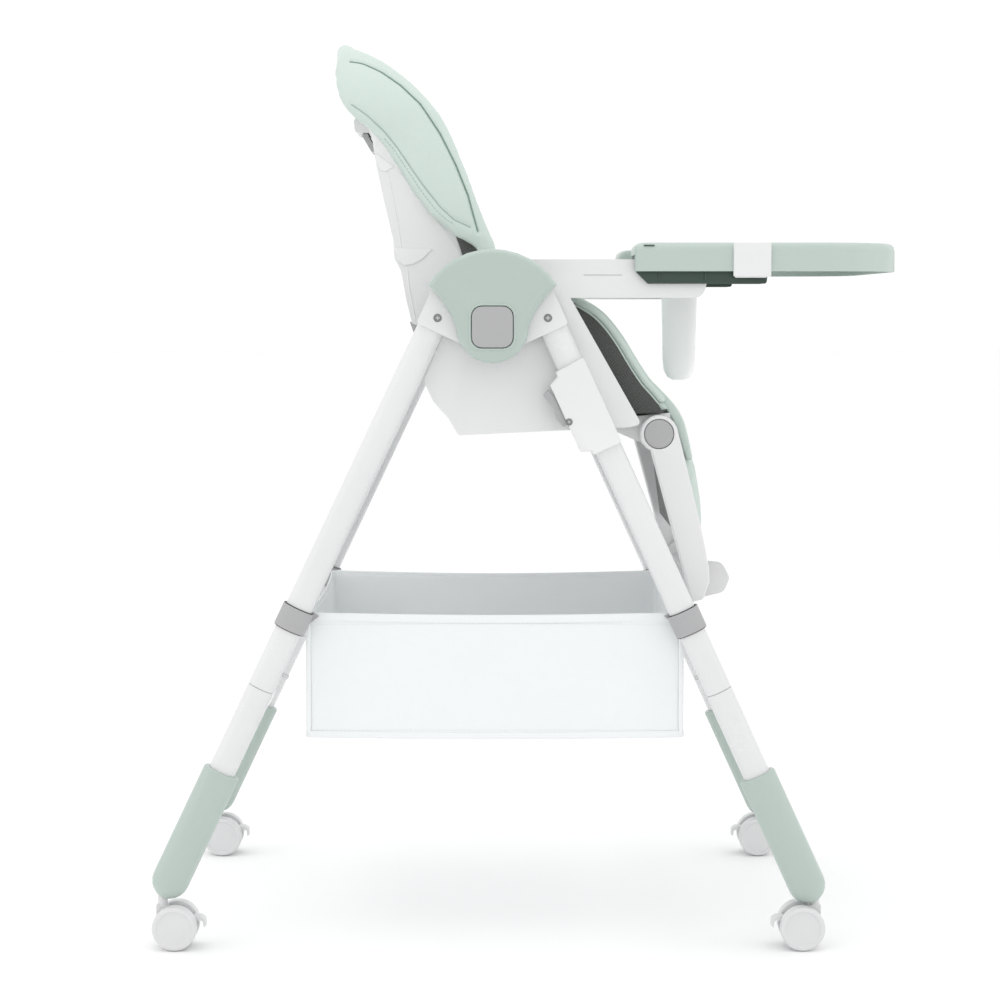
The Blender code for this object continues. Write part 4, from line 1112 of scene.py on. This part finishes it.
def make_back_details():
    """A collar and a step on each side of the back's shell, its crest, ribs and the handle's bracket."""
    plate("back_crest", CREST, -0.1645, 0.1645, WHITE_SHELL, "back", 0.0020)
    whites = [("collar", COLLAR, SHELL_SIDE, 0.1664, 0.0012), ("cheek", CHEEK, 0.1610, 0.1646, 0.0008)]
    whites.append(("step", STEP, SHELL_SIDE, 0.1668, 0.0014))
    for side, sign in SIDES:
        for name, outline, near, far, edge in whites:
            name = f"back_{name}_{side}"
            plate(name, outline, sign * near, sign * far, WHITE_SHELL, "back", edge)
        near, far = sign * 0.1500, sign * SHELL_SIDE
        plate(f"back_bracket_{side}", BRACKET, near, far, GREY_SHELL, "back", 0.0008)
        meshes = []
        for rib in (UPPER_RIB, LOWER_RIB):
            line = [(x, sign * 0.1649, z) for x, z in blended_line(rib, 16)]
            meshes.append(tube("rib", line, 0.0010, 8))
        rib = add_piece(f"back_rib_{side}", joined("ribs", meshes), WHITE_SHELL)
        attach(rib, "back")


def upright(x, wide, low, high):
    """A rectangle of (forward, up) points."""
    return [(x, low), (x + wide, low), (x + wide, high), (x, high)]


def make_tray_details():
    """A thin dark plate in each side of the tray's rim, a painted shadow standing for a short slot, and two
    ribs on each side of its base.
    """
    for side, sign in SIDES:
        # painted shadow: the slot is a dark plate on the rim's face, not an opening
        slot = upright(0.1300, 0.0120, 0.7886, 0.7900)
        near, far = sign * 0.2436, sign * 0.2449
        plate(f"tray_slot_shadow_{side}", slot, near, far, DEEP_SHELL, "tray_top", 0.0003)
        near, far = sign * 0.2365, sign * 0.2382
        for place, x in (("rear", 0.1468), ("front", 0.1980)):
            name = f"tray_base_{place}_rib_{side}"
            rib = upright(x, 0.0022, 0.7500, 0.7740)
            plate(name, rib, near, far, DEEP_SHELL, "tray_base", 0.0005)


def make_footboard_ribs():
    """Raised grip lines across the footboard's deck."""
    lines = []
    for step in range(5):
        x = 0.1900 + 0.0064 * step
        lines.append([(x, y, 0.4054 + 0.00016 * step) for y in np.linspace(-0.160, 0.160, 30)])
    ribs = [tube("rib", line, 0.0010, 8, up=(0, 0, 1)) for line in lines]
    grip = add_piece("footboard_ribs", joined("ribs", ribs), PALE_SHELL)
    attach(grip, "leg_rest")


def make_button_frames():
    """The raised lip round each fold button."""
    half, corner = 0.0246, 0.0126
    for side, sign in SIDES:
        loop = []
        for index in range(4):
            turn = radians(45 + 90 * index)
            across, up = sqrt(2) * cos(turn), sqrt(2) * sin(turn)
            centre = HUB[0] + (half - corner) * across, HUB[1] + (half - corner) * up
            for step in range(9):
                angle = turn - radians(45) + radians(90) * step / 8
                spot = centre[0] + corner * cos(angle), centre[1] + corner * sin(angle)
                loop.append((spot[0], sign * 0.2848, spot[1]))
        loop.append(loop[0])
        lip = add_piece(f"fold_button_lip_{side}", tube("lip", even(loop, 120), 0.0011, 10), MINT_SHELL)
        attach(lip, "front_frame")


def make_clip_hooks():
    """The hook on each leg's ring that holds a corner of the basket."""
    hook = [(0.0, 0.3640), (0.0020, 0.3740), (-0.0060, 0.3790), (-0.0130, 0.3740), (-0.0080, 0.3700)]
    for end, start, way in (("rear", -0.2460, -1.0), ("front", 0.1680, 1.0)):
        outline = [(start + way * out, z) for out, z in hook]
        for side, sign in SIDES:
            name, body = f"{end}_basket_hook_{side}", f"{end}_frame"
            plate(name, outline, sign * 0.2345, sign * 0.2385, GREY_SHELL, body, 0.0005)


make_camera()
make_studio()
dress_nodes()
make_back_cushion()
make_back_lining()
make_seat_cushion()
make_knee()
make_leg_cushion()
make_basket()
make_screws()
make_pins()
make_back_details()
make_tray_details()
make_footboard_ribs()
make_clip_hooks()
make_button_frames()
